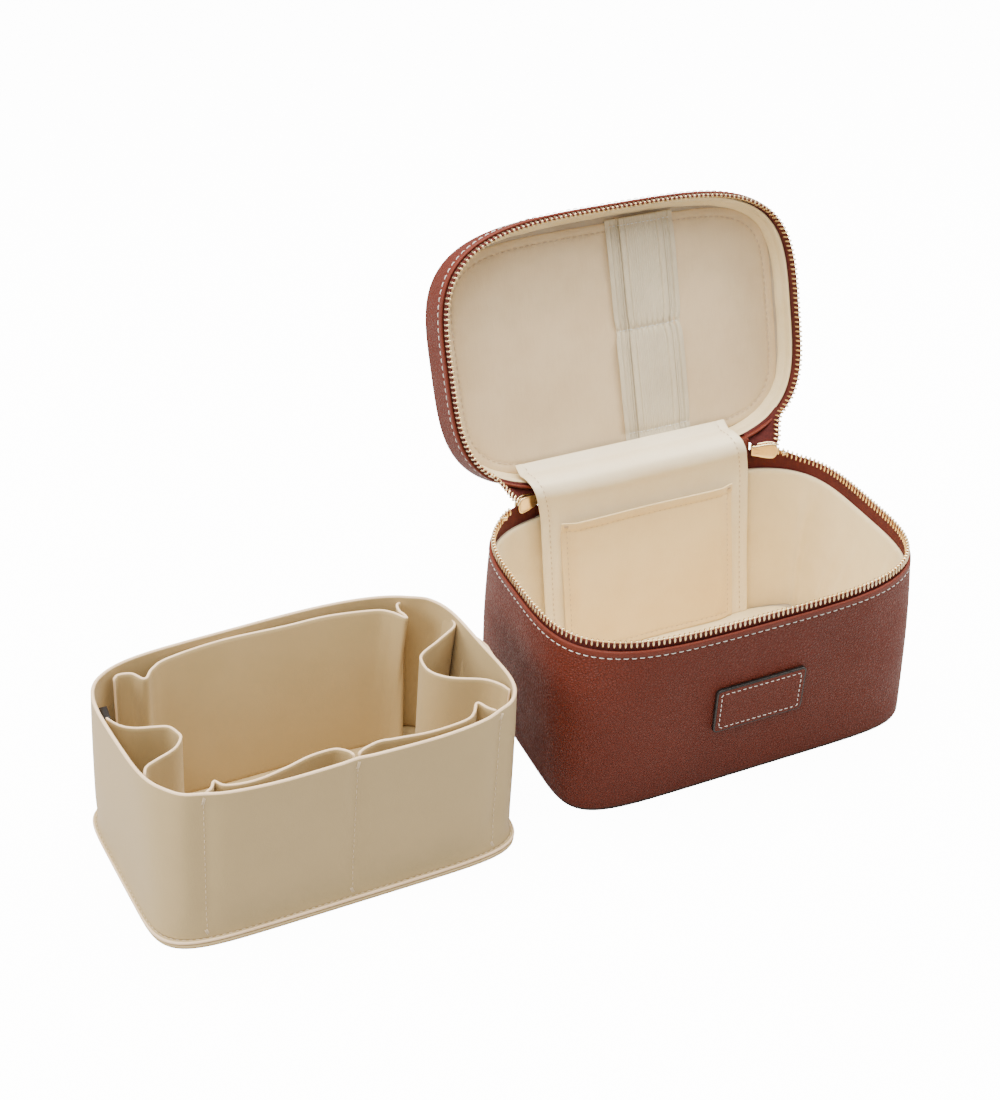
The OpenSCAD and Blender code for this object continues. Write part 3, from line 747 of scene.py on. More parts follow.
def ring_disc(rings_at, slot=0, flip=False):
    """Rings given as (outline, z) drawn in to the middle."""
    g = np.array([np.column_stack([p, np.full(len(p), z) if np.isscalar(z) else z]) for p, z in rings_at])
    return disc_patch(g, g[:, :, :2], flip, slot)


def outline(half_w, half_d, power, count, x=0.0, y=0.0):
    """Evenly spaced points round a soft rectangle, moved to x and y."""
    return resample(soft_curve(half_w, half_d, power, np.pi / 2), count + 1)[:-1] + [x, y]


def base_sheet():
    """The painted leather base: a flat plate with softly rounded edges."""
    side = [(1.1, 0.0), (0.3, 0.12), (0.02, 0.5), (0.0, 1.2), (0.25, 1.65), (1.1, BASE_T)]
    shape = lambda z: (BASE_W - 0.55, BASE_D - 0.55, BASE_POWER)
    g = walls(shape, side, 480)
    low = [(outline(BASE_W - 0.55 - i, BASE_D - 0.55 - i, BASE_POWER, 480), 0.0) for i in (1.1, 20, 45)]
    high = [(p, BASE_T) for p, z in low]
    piece("base_sheet", [grid_patch(g, True), ring_disc(low, flip=True), ring_disc(high)],
          BLACK, "case", "black_edge", "base_leather")


def stitches(name, body, rows, thread):
    """Makes one piece of all the given rows of thread."""
    obj = mesh(name, rows, [thread])
    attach(obj, body)
    return obj


# ---------------------------------------------------------------- the patch on the front

PATCH_MID, PATCH_LEAN = 53.0, math.atan2(3.5, 103.0)
PATCH_Y = -(RIM_D - 3.5 * (1 - PATCH_MID / RIM_Z)) - 0.1


def on_front(p):
    """Points given as (across, up, out) laid on the front wall at the patch's middle."""
    c, s = -math.sin(PATCH_LEAN), math.cos(PATCH_LEAN)
    x, v, h = p[..., 0], p[..., 1], p[..., 2]
    return np.stack([x - 2.0, PATCH_Y + v * c - h * s, PATCH_MID + v * s + h * c], -1)


def rounded_box(half_w, half_h, r, count):
    """A rounded rectangle, anticlockwise."""
    a = np.linspace(0, np.pi / 2, 10)
    corner = lambda x, y, start: np.column_stack([x + r * np.cos(a + start), y + r * np.sin(a + start)])
    w, h = half_w - r, half_h - r
    p = np.vstack([corner(w, h, 0), corner(-w, h, np.pi / 2), corner(-w, -h, np.pi), corner(w, -h, 1.5 * np.pi)])
    return resample(np.vstack([p, p[:1]]), count + 1)[:-1]


def pad(half_w, half_h, r, section, count, place, slot=0, tail=(6, 10, 13)):
    """A rounded plate from its section (inset, height), placed, with its top drawn to the middle."""
    rings = []
    last = section[-1]
    for inset, h in list(section) + [(last[0] + t, last[1]) for t in tail]:
        if min(half_w, half_h) - inset < 0.6:
            break
        p = rounded_box(half_w - inset, half_h - inset, max(0.4, r - inset), count)
        rings.append(np.column_stack([p, np.full(count, h)]))
    g = np.array(rings)
    v, f, c, s = disc_patch(g, g[:, :, :2], False, slot)
    return place(v), f, c, s


def front_patch():
    """A black-edged backing, a pebbled face with a stitch line, and its stitches."""
    back = [(0.5, 0.0), (0.06, 0.15), (0.0, 0.5), (0.0, 1.5), (0.16, 1.95), (0.5, 2.15), (1.0, 2.1), (1.25, 1.6)]
    piece("patch_backing", [pad(27, 14.5, 2.8, back, 320, on_front)], BLACK, "case", "black_edge", "patch_leather")
    face = [(0.9, 1.6), (0.9, 1.95), (1.1, 2.2), (1.6, 2.33), (2.3, 2.3), (2.8, 2.14), (3.1, 2.06), (3.4, 2.14),
            (3.9, 2.3), (4.8, 2.36)]
    piece("patch_face_leather", [pad(27, 14.5, 2.8, face, 320, on_front, tail=(2, 4, 6, 8))],
          LEATHER, "case", "leather", "patch_face")
    p = rounded_box(27 - 3.1, 14.5 - 3.1, 0.7, 900)
    p = np.vstack([p, p[:1]])
    path = on_front(np.column_stack([p, np.full(len(p), 2.2)]))
    up = np.tile(on_front(np.array([0, 0, 1.0])) - on_front(np.zeros(3)), (len(p), 1))
    stitches("patch_stitches", "case", [stitch_row(path, up, 3.3, 0.6, 0.24)], THREAD)


# ---------------------------------------------------------------- the zip



def part_from(x):
    """The stretch of the rim that runs from x = -x at the back, round the front, to x at the back."""
    p = resample(soft_curve(RIM_W - TAPE_IN, RIM_D - TAPE_IN, RIM_POWER, np.pi / 2), 4001)
    d = np.linspace(0, 1, 4001)
    half = p[:2000]
    f = np.interp(x, -half[:600, 0], d[:600])
    return f, 1 - f


BODY_RUN = part_from(65.0)


def slider_rise(x, y):
    """How far the body's tape climbs towards a slider."""
    return np.where(y > 0, 2.6 * ease((99 - abs(x)) / 13), 0.0)


def tooth_shape():
    """One zip tooth: legs that clamp the tape, a waist and a cupped head. Its z runs along the tooth."""
    levels = [(-2.5, 0.34, 0.85), (-2.35, 0.6, 1.18), (-1.0, 0.68, 1.3), (0.0, 0.68, 1.25), (0.5, 0.56, 1.02),
              (1.0, 0.5, 0.9), (1.4, 0.6, 1.04), (1.75, 0.48, 0.9), (1.88, 0.2, 0.5)]
    a = np.radians([20, 70, 110, 160, 200, 250, 290, 340])
    c, s = np.sign(np.cos(a)) * abs(np.cos(a)) ** 0.6, np.sign(np.sin(a)) * abs(np.sin(a)) ** 0.6
    rings = np.array([np.column_stack([w * c, d * s, np.full(8, z)]) for z, w, d in levels])
    return loft(rings)


def teeth_along(path, across, up, pitch=PITCH, phase=0.5):
    """Teeth every pitch along a path, standing along up."""
    count = int(round(length(path) / pitch))
    step = resample(np.column_stack([path, across, up]), 2 * count + 1)
    at = step[1::2] if phase == 0.5 else step[::2]
    along = unit(np.gradient(at[:, :3], axis=0))
    z = unit(at[:, 6:9])
    y = unit(at[:, 3:6] - (at[:, 3:6] * z).sum(1, keepdims=True) * z)
    v, f = tooth_shape()
    return copies(v, f, at[:, :3], np.cross(y, z), y, z)


def bead(path, radius, sides=8):
    """A round cord along an open path, with its ends closed in."""
    t = unit(np.gradient(path, axis=0))
    side = unit(np.cross(t, [0, 0, 1.0]))
    top = np.cross(side, t)
    a = np.linspace(0, 2 * np.pi, sides + 1)[:-1]
    r = np.full(len(path), radius)
    r[0] = r[-1] = radius * 0.3
    g = (path[:, None] + r[:, None, None] * (np.cos(a)[None, :, None] * side[:, None] + np.sin(a)[None, :, None] * top[:, None]))
    return grid_patch(g, True, flip=True)


def zip_body():
    """The case's half of the zip: a twill tape inside the rim, its corded edge, and the teeth on it."""
    z = np.r_[np.linspace(RIM_Z - 6.6, RIM_Z + 3.4, 12)]
    g = walls(body_shape, [(TAPE_IN, k) for k in z], 900, BODY_RUN)
    lift = slider_rise(g[:, :, 0], g[:, :, 1])
    g[:, :, 2] += lift * ease((g[:, :, 2] - RIM_Z + 5) / 9)
    obj = piece("zip_tape_case", sheet_patches(g[:, ::-1], 0.75), TAPE, "case", "zip_tape", "zip_tape_body")
    path, n = rim_path(body_shape, RIM_Z + 3.5, TAPE_IN, BODY_RUN, 2400)
    path[:, 2] += slider_rise(path[:, 0], path[:, 1])
    cord_obj = mesh("zip_cord_case", [bead(path[::4], 0.62)], [TAPE])
    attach(cord_obj, "case")
    keep = (path[:, 1] < 0) | (abs(path[:, 0]) > 84)
    path, n = path[keep], n[keep]
    path[:, 2] += 0.1
    up = np.tile([0, 0, 1.0], (len(path), 1))
    piece("zip_teeth_case", [teeth_along(path, n, up)], GOLD, "case", "gold_metal", "zip_teeth_body")


LID_START = 93.0


def zip_lid():
    """The lid's half of the zip, hanging from the lid's rim when it is closed."""
    run = part_from(LID_START)
    z = np.linspace(LID_Z + 6, LID_Z - 3.4, 12)
    g = opened(walls(lid_shape, [(TAPE_IN, k) for k in z], 900, run))
    piece("zip_tape_lid_side", sheet_patches(g, 0.75), TAPE, "lid", "zip_tape", "zip_tape_lid")
    path, n = rim_path(body_shape, RIM_Z, TAPE_IN, run, 2400)
    path[:, 2] = LID_Z - 3.5
    p = opened(path)
    cord_obj = mesh("zip_cord_lid", [bead(p[::4], 0.62)], [TAPE])
    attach(cord_obj, "lid")
    path[:, 2] -= 0.1
    down = open_direction(np.tile([0, 0, -1.0], (len(path), 1)))
    piece("zip_teeth_lid_side", [teeth_along(opened(path), open_direction(n), down)],
          GOLD, "lid", "gold_metal", "zip_teeth_lid")


def slider_place(sign):
    """Origin and axes of a slider: along the zip towards the open teeth, outward, and up."""
    x = SLIDER_X + SLIDER_SHIFT * sign
    fy = lambda u: (RIM_D - TAPE_IN) * (1 - (u / (RIM_W - TAPE_IN)) ** RIM_POWER) ** (1 / RIM_POWER)
    slope = math.atan2(fy(x + 0.5) - fy(x - 0.5), 1)
    c, s = math.cos(slope), math.sin(slope)
    origin = np.array([x * sign, fy(x), 0])
    return origin, np.array([c * sign, s, 0]), np.array([-s * sign, c, 0]), np.array([0, 0, 1.0])


def zip_bridge(side, sign):
    """Where the zip opens at a slider: the lid's tape climbs from the slider to the lid's rim, with teeth.

    The corded edge is a curve from the slider's mouth to where the lid's row begins; the other edge lies
    along the lid's side. The sheet between them sags a little in its middle.
    """
    origin, along, out, up = slider_place(sign)
    mouth = origin + along * 4.5 + up * (SLIDER_Z + 1.2)
    fy = lambda u: (RIM_D - TAPE_IN) * (1 - (u / (RIM_W - TAPE_IN)) ** RIM_POWER) ** (1 / RIM_POWER)
    start = opened(np.array([LID_START * sign, fy(LID_START), LID_Z - 3.5]))
    after = opened(np.array([(LID_START + 2) * sign, fy(LID_START + 2), LID_Z - 3.5]))
    way = unit(after - start)
    t = np.linspace(0, 1, 40)[:, None]
    d = np.linalg.norm(start - mouth)
    a, b = mouth + (along * 0.8 + up * 0.5) * d * 0.35, start - way * d * 0.4
    edge = (1 - t) ** 3 * mouth + 3 * t * (1 - t) ** 2 * a + 3 * t**2 * (1 - t) * b + t**3 * start
    xs = np.linspace(68, LID_START, 40)
    root = opened(np.column_stack([xs * sign, fy(xs) - 0.2, np.full(40, LID_Z + 4.5)]))
    bottom = origin - along * 6 + up * (SLIDER_Z + 2.5)
    root = root * ease(t / 0.15 + 0.25) + (1 - ease(t / 0.15 + 0.25)) * bottom
    v = np.linspace(0, 1, 14)[:, None, None]
    g = edge[None] * (1 - v) + root[None] * v
    g += (v * (1 - v) * 4 * 0.9) * np.array([0, 0.3, -1.0]) * np.sin(np.pi * t)[None]
    if sign < 0:
        g = g[:, ::-1]
    tape = mesh("zip_bridge_tape_" + side, sheet_patches(g, 0.75) + [bead(edge, 0.62)], [TAPE])
    run = edge[4:]
    teeth_up = unit(edge[4:] - root[4:])
    normal = unit(np.cross(np.gradient(run, axis=0), teeth_up))
    teeth = mesh("zip_bridge_teeth_" + side, [teeth_along(run, normal, teeth_up)], [GOLD])
    for obj, slot in ((tape, "zip_tape"), (teeth, "gold_metal")):
        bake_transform(obj)
    return tape


def plate_outline(count=200):
    """The slider plate: a round head, a waist, and a narrow end under the flap."""
    u = np.linspace(0, 1, 200)
    high = 5.0 - 1.7 * (0.5 + 0.5 * np.cos(np.pi * np.minimum(1, u / 0.72)))
    high -= np.where(u > 0.8, 4.9 * (1 - np.sqrt(np.maximum(0, 1 - ((u - 0.8) / 0.2) ** 2))), 0)
    high *= np.minimum(1, np.sqrt(np.maximum(0, 1 - (1 - u / 0.06).clip(0, 1) ** 2)) * 0.5 + 0.5)
    x = 16 * (u - 0.5)
    p = np.vstack([np.column_stack([x, -high]), np.column_stack([x, high])[::-1]])
    return resample(np.vstack([p, p[:1]]), count + 1)[:-1]


def inset_rings(path, section, place, slot=0):
    """Rings of a closed outline drawn in by normals, at heights, closed by discs at both ends."""
    n = outward(path)
    g = np.array([np.column_stack([path - n * i, np.full(len(path), h)]) for i, h in section])
    v, f, c, s = grid_patch(g, True, np.tile(path, (len(section), 1, 1)))
    middle = path.mean(0)
    out = [(place(v), f, c, s)]
    for k, flip in ((0, True), (len(section) - 1, False)):
        ring = g[k]
        inner = np.column_stack([middle + (ring[:, :2] - middle) * 0.5, ring[:, 2]])
        d = disc_patch(np.array([ring, inner]), np.array([ring, inner])[:, :, :2], flip, slot)
        out.append((place(d[0]), *d[1:]))
    return out


def slider_piece(side, sign):
    """Two bevelled shield plates with lips that hold the tape, a neck, and a bail for the pull."""
    origin, along, out, up = slider_place(sign)

    def placer(face):
        def place(p):
            h = p[..., 2:] * face + (1.0 if face > 0 else -1.0)
            return origin + up * SLIDER_Z + along * p[..., :1] + up * p[..., 1:2] + out * h
        return place

    section = [(1.1, 0.05), (1.05, -0.45), (0.55, -0.6), (0.12, -0.45), (0.0, -0.1), (0.0, 0.75), (0.12, 1.02),
               (0.4, 1.15), (0.75, 1.12), (1.0, 0.98), (1.4, 0.92)]
    plain = section[:8] + [(0.9, 1.28), (1.6, 1.36)]
    patches = []
    for face, shape in ((-1.0, section if side == "left" else plain), (1.0, plain)):
        part = inset_rings(plate_outline(), shape, placer(face))
        if face * sign > 0:
            part = [(v, f[:, ::-1], c[:, ::-1], s) for v, f, c, s in part]
        patches += part
    neck = np.array([np.column_stack([2.4 + 1.3 * np.cos(a) * k, 1.7 * np.sin(a), np.full(24, h)])
                     for a in [np.linspace(0, 2 * np.pi, 25)[:-1]] for k, h in ((1, -1.2), (0.9, 0), (1, 1.2))])
    v, f = loft(neck)
    v = origin + up * SLIDER_Z + along * v[:, :1] + up * v[:, 1:2] + out * v[:, 2:]
    patches.append((v, f if sign > 0 else f[:, ::-1], np.zeros((len(f), 4, 2)), np.zeros(len(f), int)))
    t = np.linspace(0, np.pi, 24)
    bail = np.column_stack([3.0 * np.cos(t), np.full(24, -4.4), 2.05 + 2.0 * np.sin(t) ** 0.5])
    bail = np.vstack([[3.0, -4.4, 0.9], bail, [-3.0, -4.4, 0.9]])
    line = origin + up * SLIDER_Z + along * bail[:, :1] + up * bail[:, 1:2] + out * bail[:, 2:]
    tangent = unit(np.gradient(line, axis=0))
    b = np.linspace(0, 2 * np.pi, 13)[:-1]
    second = np.cross(up, tangent)
    ring = line[:, None] + 0.7 * (np.cos(b)[None, :, None] * up + np.sin(b)[None, :, None] * second[:, None])
    patches.append(grid_patch(ring, True, flip=False))
    piece("slider_" + side + "_plates", patches, GOLD, "case", "gold_metal", "slider_" + side)


def pull_piece(side, sign):
    """A rounded tab with a raised rim, a hole for the bail, and a barrel round it."""
    origin, along, out, up = slider_place(sign)
    pivot = origin + up * (SLIDER_Z - 4.4) + out * 4.1
    lean = math.radians(8)
    down = -up * math.cos(lean) + out * math.sin(lean)
    face = out * math.cos(lean) + up * math.sin(lean)
    t = np.linspace(0, np.pi, 40)
    top = np.column_stack([3.8 * np.cos(t), 3.8 * np.sin(t) - 7.0])
    low = np.column_stack([-3.8 * np.cos(t), -3.8 * np.sin(t) - 23.2])
    path = np.vstack([top, low])
    path = resample(np.vstack([path, path[:1]]), 161)[:-1]
    place = lambda p: pivot + along * p[..., :1] - down * p[..., 1:2] + face * p[..., 2:]
    section = [(1.6, -0.35), (1.2, -0.38), (0.9, -0.58), (0.35, -0.6), (0.05, -0.4), (0.0, 0.0), (0.05, 0.4),
               (0.35, 0.6), (0.9, 0.58), (1.2, 0.38), (1.6, 0.35)]
    patches = inset_rings(path, section, place)
    a = np.linspace(0, 2 * np.pi, 33)[:-1]
    hoop = lambda r, x: np.column_stack([np.full(32, x), r * np.cos(a), r * np.sin(a)])
    rings = np.array([hoop(1.02, -1.7), hoop(1.35, -1.8), hoop(1.62, -1.6), hoop(1.7, -1.2), hoop(1.7, 1.2),
                      hoop(1.62, 1.6), hoop(1.35, 1.8), hoop(1.02, 1.7), hoop(1.02, 0), hoop(1.02, -1.7)])
    patches.append(grid_patch(place(rings), True, flip=True))
    stem = inset_rings(rounded_box(1.6, 2.2, 0.3, 48) + [0, -3.6], [(0.25, -0.55), (0.0, -0.3), (0.0, 0.3), (0.25, 0.55)], place)
    patches += stem
    if sign < 0:
        patches = [(v, f[:, ::-1], c[:, ::-1], s) for v, f, c, s in patches]
    piece("pull_" + side + "_tab", patches, GOLD, "pull_" + side, "gold_metal", "pull_" + side)


def stop_piece(side, sign):
    """The small folded clip behind each slider, that ends the row of teeth."""
    low, high = span("zip_stop_" + side)
    mid, half = (low + high) / 2, (high - low) / 2
    shape = [(0.5, -half[2]), (0.1, -half[2] + 0.15), (0.0, -half[2] + 0.5), (0.0, half[2] - 0.5), (0.1, half[2] - 0.15),
             (0.5, half[2])]
    patches = inset_rings(rounded_box(half[0], half[1], 0.4, 64), shape, lambda p: p + mid)
    piece("zip_stop_" + side + "_clip", patches, GOLD, "case", "gold_metal", "zip_stop_" + side)


# ---------------------------------------------------------------- linings inside the case

LINING_SLOPE = 18.0


def lining_shape_shift(g):
    """The loose lining slopes forward at the back, towards the floor."""
    keep = 1 - LINING_SLOPE * (1 - g[..., 2] / RIM_Z) / RIM_D
    g[..., 1] = np.where(g[..., 1] > 0, g[..., 1] * keep, g[..., 1])
    return g


def body_lining():
    """Satin round the inside, hung from the zip tape, with soft upright folds."""
    z = np.r_[4.2, 6, 9, 13, np.linspace(18, 90, 22), 92.5, 94.5]
    top = [(3.72, 95.7), (3.4, 96.5), (2.9, 96.85), (2.55, 96.5), (2.5, 95.2), (2.55, 93.0)]
    profile = np.vstack([np.column_stack([np.full(len(z), 3.85), z]), top])
    g = walls(body_shape, profile, 1000)
    rows, cols = g.shape[:2]
    s = np.arange(cols)[None] / cols
    h = g[:, :, 2]
    fade = ease((95 - h) / 30) * 0.9 + 0.1
    lean = s + (h - 50) / 2600 * np.sin(2 * np.pi * 3 * s)
    fold = ripple(lean, [5, 9, 14, 23], 4) * 0.8 + np.maximum(0, ripple(lean + 0.02 * h / 90, [17, 26, 41], 9)) ** 2 * 2.2
    n = outward(g[0, :, :2])
    move = -(fold * fade * 0.75 + 0.4) * ease((96.3 - h) / 3)
    tuck = 0.35 * bump(h, 91.5, 1.3) + 0.12 * np.sin(2 * np.pi * s * cols / 12) * bump(h, 94.5, 2.0)
    g[:, :, :2] += (move + tuck)[..., None] * n[None]
    g = lining_shape_shift(g)
    piece("body_lining_satin", [grid_patch(g, True, flip=True)], SATIN, "case", "satin", "body_lining")


def floor_panel():
    """A padded board covered in satin, its corners round and its edge turned under."""
    count = 420
    rings, z = [], []
    for inset, h in ((0.4, 3.95), (0.0, 4.4), (-0.15, 5.0), (0.1, 5.7), (0.8, 6.3), (2.0, 6.6), (4, 6.7),
                     (10, 6.78), (20, 6.8), (32, 6.75), (44, 6.8)):
        p = outline(103.6 - inset, 60.0 - inset, 5.2, count, 0.0, -7.6)
        rings.append(np.column_stack([p, np.full(count, h)]))
    g = np.array(rings)
    g[5:, :, 2] += 0.25 * np.sin(g[5:, :, 0] / 23 + 1) * np.sin(g[5:, :, 1] / 19)
    obj = piece("floor_panel", [disc_patch(g, g[:, :, :2])], SATIN, "case", "satin", "floor_lining")
    return obj


def lid_lining():
    """Satin round the inside of the lid's side, with small folds, from the zip to the panel."""
    z = np.linspace(LID_Z + 15.9, LID_Z + 5.4, 12)
    edge = [(3.5, LID_Z + 4.4), (3.0, LID_Z + 3.9), (2.5, LID_Z + 4.4), (2.5, LID_Z + 6)]
    profile = np.vstack([np.column_stack([np.full(12, 3.8), z]), edge])
    g = walls(lid_shape, profile, 900)
    cols = g.shape[1]
    s = np.arange(cols)[None] / cols
    h = g[:, :, 2]
    fold = ripple(s, [7, 12, 19, 31, 47], 12) * 0.9
    n = outward(g[0, :, :2])
    depth = ease((h - LID_Z - 4) / 5)
    g[:, :, :2] -= ((fold * 0.5 + 0.45) * depth + 2.6 * ease((h - LID_Z - 9) / 7))[..., None] * n[None]
    piece("lid_lining_satin", [grid_patch(opened(g), True)], SATIN, "lid", "satin", "lid_side_lining")


STRAP_X, STRAP_W, NARROW_W = 20.0, 42.0, 26.0
STRAP_ROWS = (-62.0, -3.0, 57.0)
PANEL_W, PANEL_D, PANEL_POWER = RIM_W - 7, RIM_D - 8, 5.0


def lid_panel():
    """The lid's padded fabric panel with a stitch line round it, pressed in under the straps' seams."""
    insets = np.r_[0.3, 0.1, 0.0, 0.15, 0.6, 1.4, 2.4, 3.4, 4.1, 4.6, 5.0, 5.4, 5.9, 6.8, 8.2, 10, 12, 14.5,
                   np.linspace(17, 61, 18)]
    heights = np.r_[-1.35, -1.37, -1.45, -1.6, -1.8, -1.95, -2.05, -2.05, -1.97, -1.78, -1.7, -1.78, -1.92, -2.0,
                    -2.06, -2.1, -2.12, -2.14, np.linspace(-2.16, -2.3, 18)]
    count = 640
    rings = []
    for i, h in zip(insets, heights):
        p = outline(PANEL_W - i, PANEL_D - i, PANEL_POWER, count)
        rings.append(np.column_stack([p, np.full(count, PANEL_Z + 2.1 + h)]))
    g = np.array(rings)
    g[:, :, 1] *= np.where(g[:, :, 1] < 0, 1 - LID_TAPER / RIM_D, 1)
    x, y = g[:, :, 0], g[:, :, 1]
    inner = ease((insets - 6) / 8)[:, None]
    wave = 0.22 * np.sin(x / 17 + 1.3) * np.sin(y / 13 + 0.4) + 0.12 * np.sin(x / 6.1 + y / 23)
    under = ease((x + 7) / 5) * ease((39 - x) / 5)
    seams = sum(bump(y, r, 3.0) for r in STRAP_ROWS)
    g[:, :, 2] += inner * (wave + under * (0.5 + 0.5 * seams))
    s = np.arange(count)[None] / count
    near = (bump(insets, 5.0, 1.6))[:, None]
    g[:, :, 2] -= 0.12 * np.cos(2 * np.pi * s * 130) * near
    v, f, c, k = disc_patch(g, g[:, :, :2], flip=True)
    obj = piece("lid_panel_fabric", [(opened(v), f, c, k)], PANEL, "lid", "panel_fabric", "lid_panel")
    p = resample(soft_curve(PANEL_W - 5, PANEL_D - 5, PANEL_POWER, np.pi / 2), 2400)
    p[:, 1] *= np.where(p[:, 1] < 0, 1 - LID_TAPER / RIM_D, 1)
    path = np.column_stack([p, np.full(len(p), PANEL_Z + 2.1 - 1.95)])
    down = np.tile([0, 0, -1.0], (len(p), 1))
    stitches("lid_panel_stitches", "lid", [stitch_row(opened(path), open_direction(down), 3.6, 0.62, 0.27)],
             SHADED_CREAM_THREAD)


def strap(name, node, width, level, seed):
    """An elastic band over the panel: fine ribs, smooth selvedges, slack between its three seams."""
    half = width / 2
    cols = int(width / 1.5) * 8 + 1
    u = np.linspace(-1, 1, cols)
    y = np.linspace(-65.6, 64.4, 300)
    yy, uu = np.meshgrid(y, u, indexing="ij")
    seam = sum(bump(yy, r, 2.2) for r in STRAP_ROWS)
    gather = sum(a * bump(yy, r, 5.0) for a, r in zip((0.25, 1.1, 0.3), STRAP_ROWS))
    x = STRAP_X + uu * (half - 0.9 * gather * (1 if level == 0 else 0.8))
    slack = np.ones_like(yy)
    for a, b in ((STRAP_ROWS[0], STRAP_ROWS[1]), (STRAP_ROWS[1], STRAP_ROWS[2])):
        t = (yy - a) / (b - a)
        slack = np.where((t > 0) & (t < 1), np.sin(np.pi * t.clip(0, 1)) ** 0.6, slack)
    slack = np.where((yy < STRAP_ROWS[0]) | (yy > STRAP_ROWS[2]), 0.1, slack)
    pucker = gather * 0.5 * np.sin(2 * np.pi * x / 3.4 + seed) * (1 - 0.7 * bump(yy, -3, 1.0))
    edge = half - abs(uu) * half
    selvedge = 0.3 * ease((2.8 - edge) / 0.8) - 0.6 * bump(edge, 3.0, 0.45)
    rib = 0.14 * np.cos(2 * np.pi * uu * half / 1.5) * ease((edge - 3.2) / 0.5)
    lift = 0.5 + level * 1.5 + slack * (0.7 + 0.35 * level) + 0.2 * np.sin(yy / 9 + seed) * slack
    h = lift - 0.45 * seam + pucker * (0.4 + 0.6 * ease(abs(yy + 3) / 2)) + selvedge + rib
    g = np.stack([x, yy, PANEL_Z + 0.3 - h], -1)
    uv = np.stack([uu * half + STRAP_X, yy], -1)
    rows = [opened_patch(p) for p in sheet_patches(g, 0.7, uv=uv)]
    obj = piece(name, rows, ELASTIC, "lid", "elastic", node)
    return g


def opened_patch(patch):
    """A patch of the closed lid, turned to where it lies at rest."""
    return (opened(patch[0]), *patch[1:])


def straps():
    """The wide elastic, the narrow one over it, and the stitches of their three seams."""
    strap("strap_wide_elastic", "strap_wide", STRAP_W, 0, 0.4)
    g = strap("strap_narrow_elastic", "strap_narrow", NARROW_W, 1, 2.1)
    rows = []
    for y in STRAP_ROWS:
        x = np.linspace(STRAP_X - STRAP_W / 2 + 1.6, STRAP_X + STRAP_W / 2 - 1.6, 200)
        on = abs(x - STRAP_X) < NARROW_W / 2 - 0.3
        k = np.argmin(abs(g[:, 0, 1] - y))
        top = np.interp(x, g[k, :, 0], g[k, :, 2]) - 0.42
        z = np.where(on, top, PANEL_Z + 0.3 - 0.1 - 0.5)
        path = opened(np.column_stack([x, np.full(200, y), z]))
        down = open_direction(np.tile([0, 0, -1.0], (200, 1)))
        rows.append(stitch_row(path, down, 2.6, 0.66, 0.24))
    stitches("strap_stitches", "lid", rows, THREAD)


# ---------------------------------------------------------------- the lid's leather

LID_STITCH = LID_Z + 4.0
SIDE_TOP = LID_TOP - LID_EDGE


def lid_leather():
    """The lid's side with its rolled rim and topstitch, and its padded top with a seam between them."""
    profile = leather_profile(SIDE_TOP - 0.9, LID_Z, LID_STITCH, way=-1.0)
    seam = [(1.2, SIDE_TOP - 0.05), (0.5, SIDE_TOP - 0.1), (0.1, SIDE_TOP - 0.4)]
    profile = np.vstack([seam, profile])
    g = walls(lid_shape, profile, 1240)
    n = outward(g[0, :, :2])
    cols = g.shape[1]
    s = np.arange(cols) / cols * round(RIM_LENGTH / STITCH)
    press = 0.14 * np.cos(2 * np.pi * s)[None] * bump(g[:, :, 2], LID_STITCH, 1.0)
    g[:, :, :2] += press[..., None] * n[None]
    roll = np.where(profile[:, 1] < LID_STITCH - 0.4)[0][0]
    outer, rim = opened(g[:roll + 1]), opened(g[roll:])
    piece("lid_side_skin", [grid_patch(outer, True, flip=True), grid_patch(rim, True, flip=True, slot=1)],
          [LEATHER, RIM_LEATHER], "lid", "leather", "lid_side_leather")

    a = np.radians(np.linspace(0, 90, 14))
    curve = [(1.2, SIDE_TOP + 0.05), (0.45, SIDE_TOP + 0.1), (0.08, SIDE_TOP + 0.4)]
    z = SIDE_TOP + (LID_TOP - SIDE_TOP) * np.sin(a[2:])
    profile = np.vstack([curve, np.column_stack([np.zeros(12), z])])
    g = walls(lid_shape, profile, 900)
    rings = [g]
    last = g[-1]
    middle = last.mean(0)
    for k, lift in ((0.97, 0.02), (0.9, 0.1), (0.78, 0.25), (0.62, 0.4), (0.45, 0.5), (0.25, 0.56), (0.1, 0.58)):
        ring = middle + (last - middle) * k
        ring[:, 2] = LID_TOP + lift
        rings.append(ring[None])
    g = np.concatenate(rings)
    v, f, c, k = disc_patch(g, np.concatenate([g[:, :, :2]], 0))
    piece("lid_top_skin", [(opened(v), f, c, k)], LEATHER, "lid", "leather", "lid_top_leather")


def topstitch():
    """The white threads that run round the body and round the lid, below their rims."""
    path, n = rim_path(body_shape, STITCH_Z, 0.16)
    stitches("body_topstitch", "case", [stitch_row(path, n, STITCH, 0.66, 0.3)], THREAD)
    path, n = rim_path(lid_shape, LID_STITCH, 0.16)
    stitches("lid_topstitch", "lid", [stitch_row(opened(path), open_direction(n), STITCH, 0.66, 0.3)],
             THREAD)


# ---------------------------------------------------------------- soft pieces that cross the hinge


def rim_y(x, inset):
    """How far back the body's rim is at x: the soft rectangle's formula, solved for y."""
    return (RIM_D - inset) * (1 - (abs(x) / (RIM_W - inset)) ** RIM_POWER) ** (1 / RIM_POWER)


def bezier(points, count):
    """Points on the cubic curve with four given points."""
    t = np.linspace(0, 1, count)[:, None]
    a, b, c, d = (np.asarray(p, float) for p in points)
    return (1 - t) ** 3 * a + 3 * t * (1 - t) ** 2 * b + 3 * t**2 * (1 - t) * c + t**3 * d


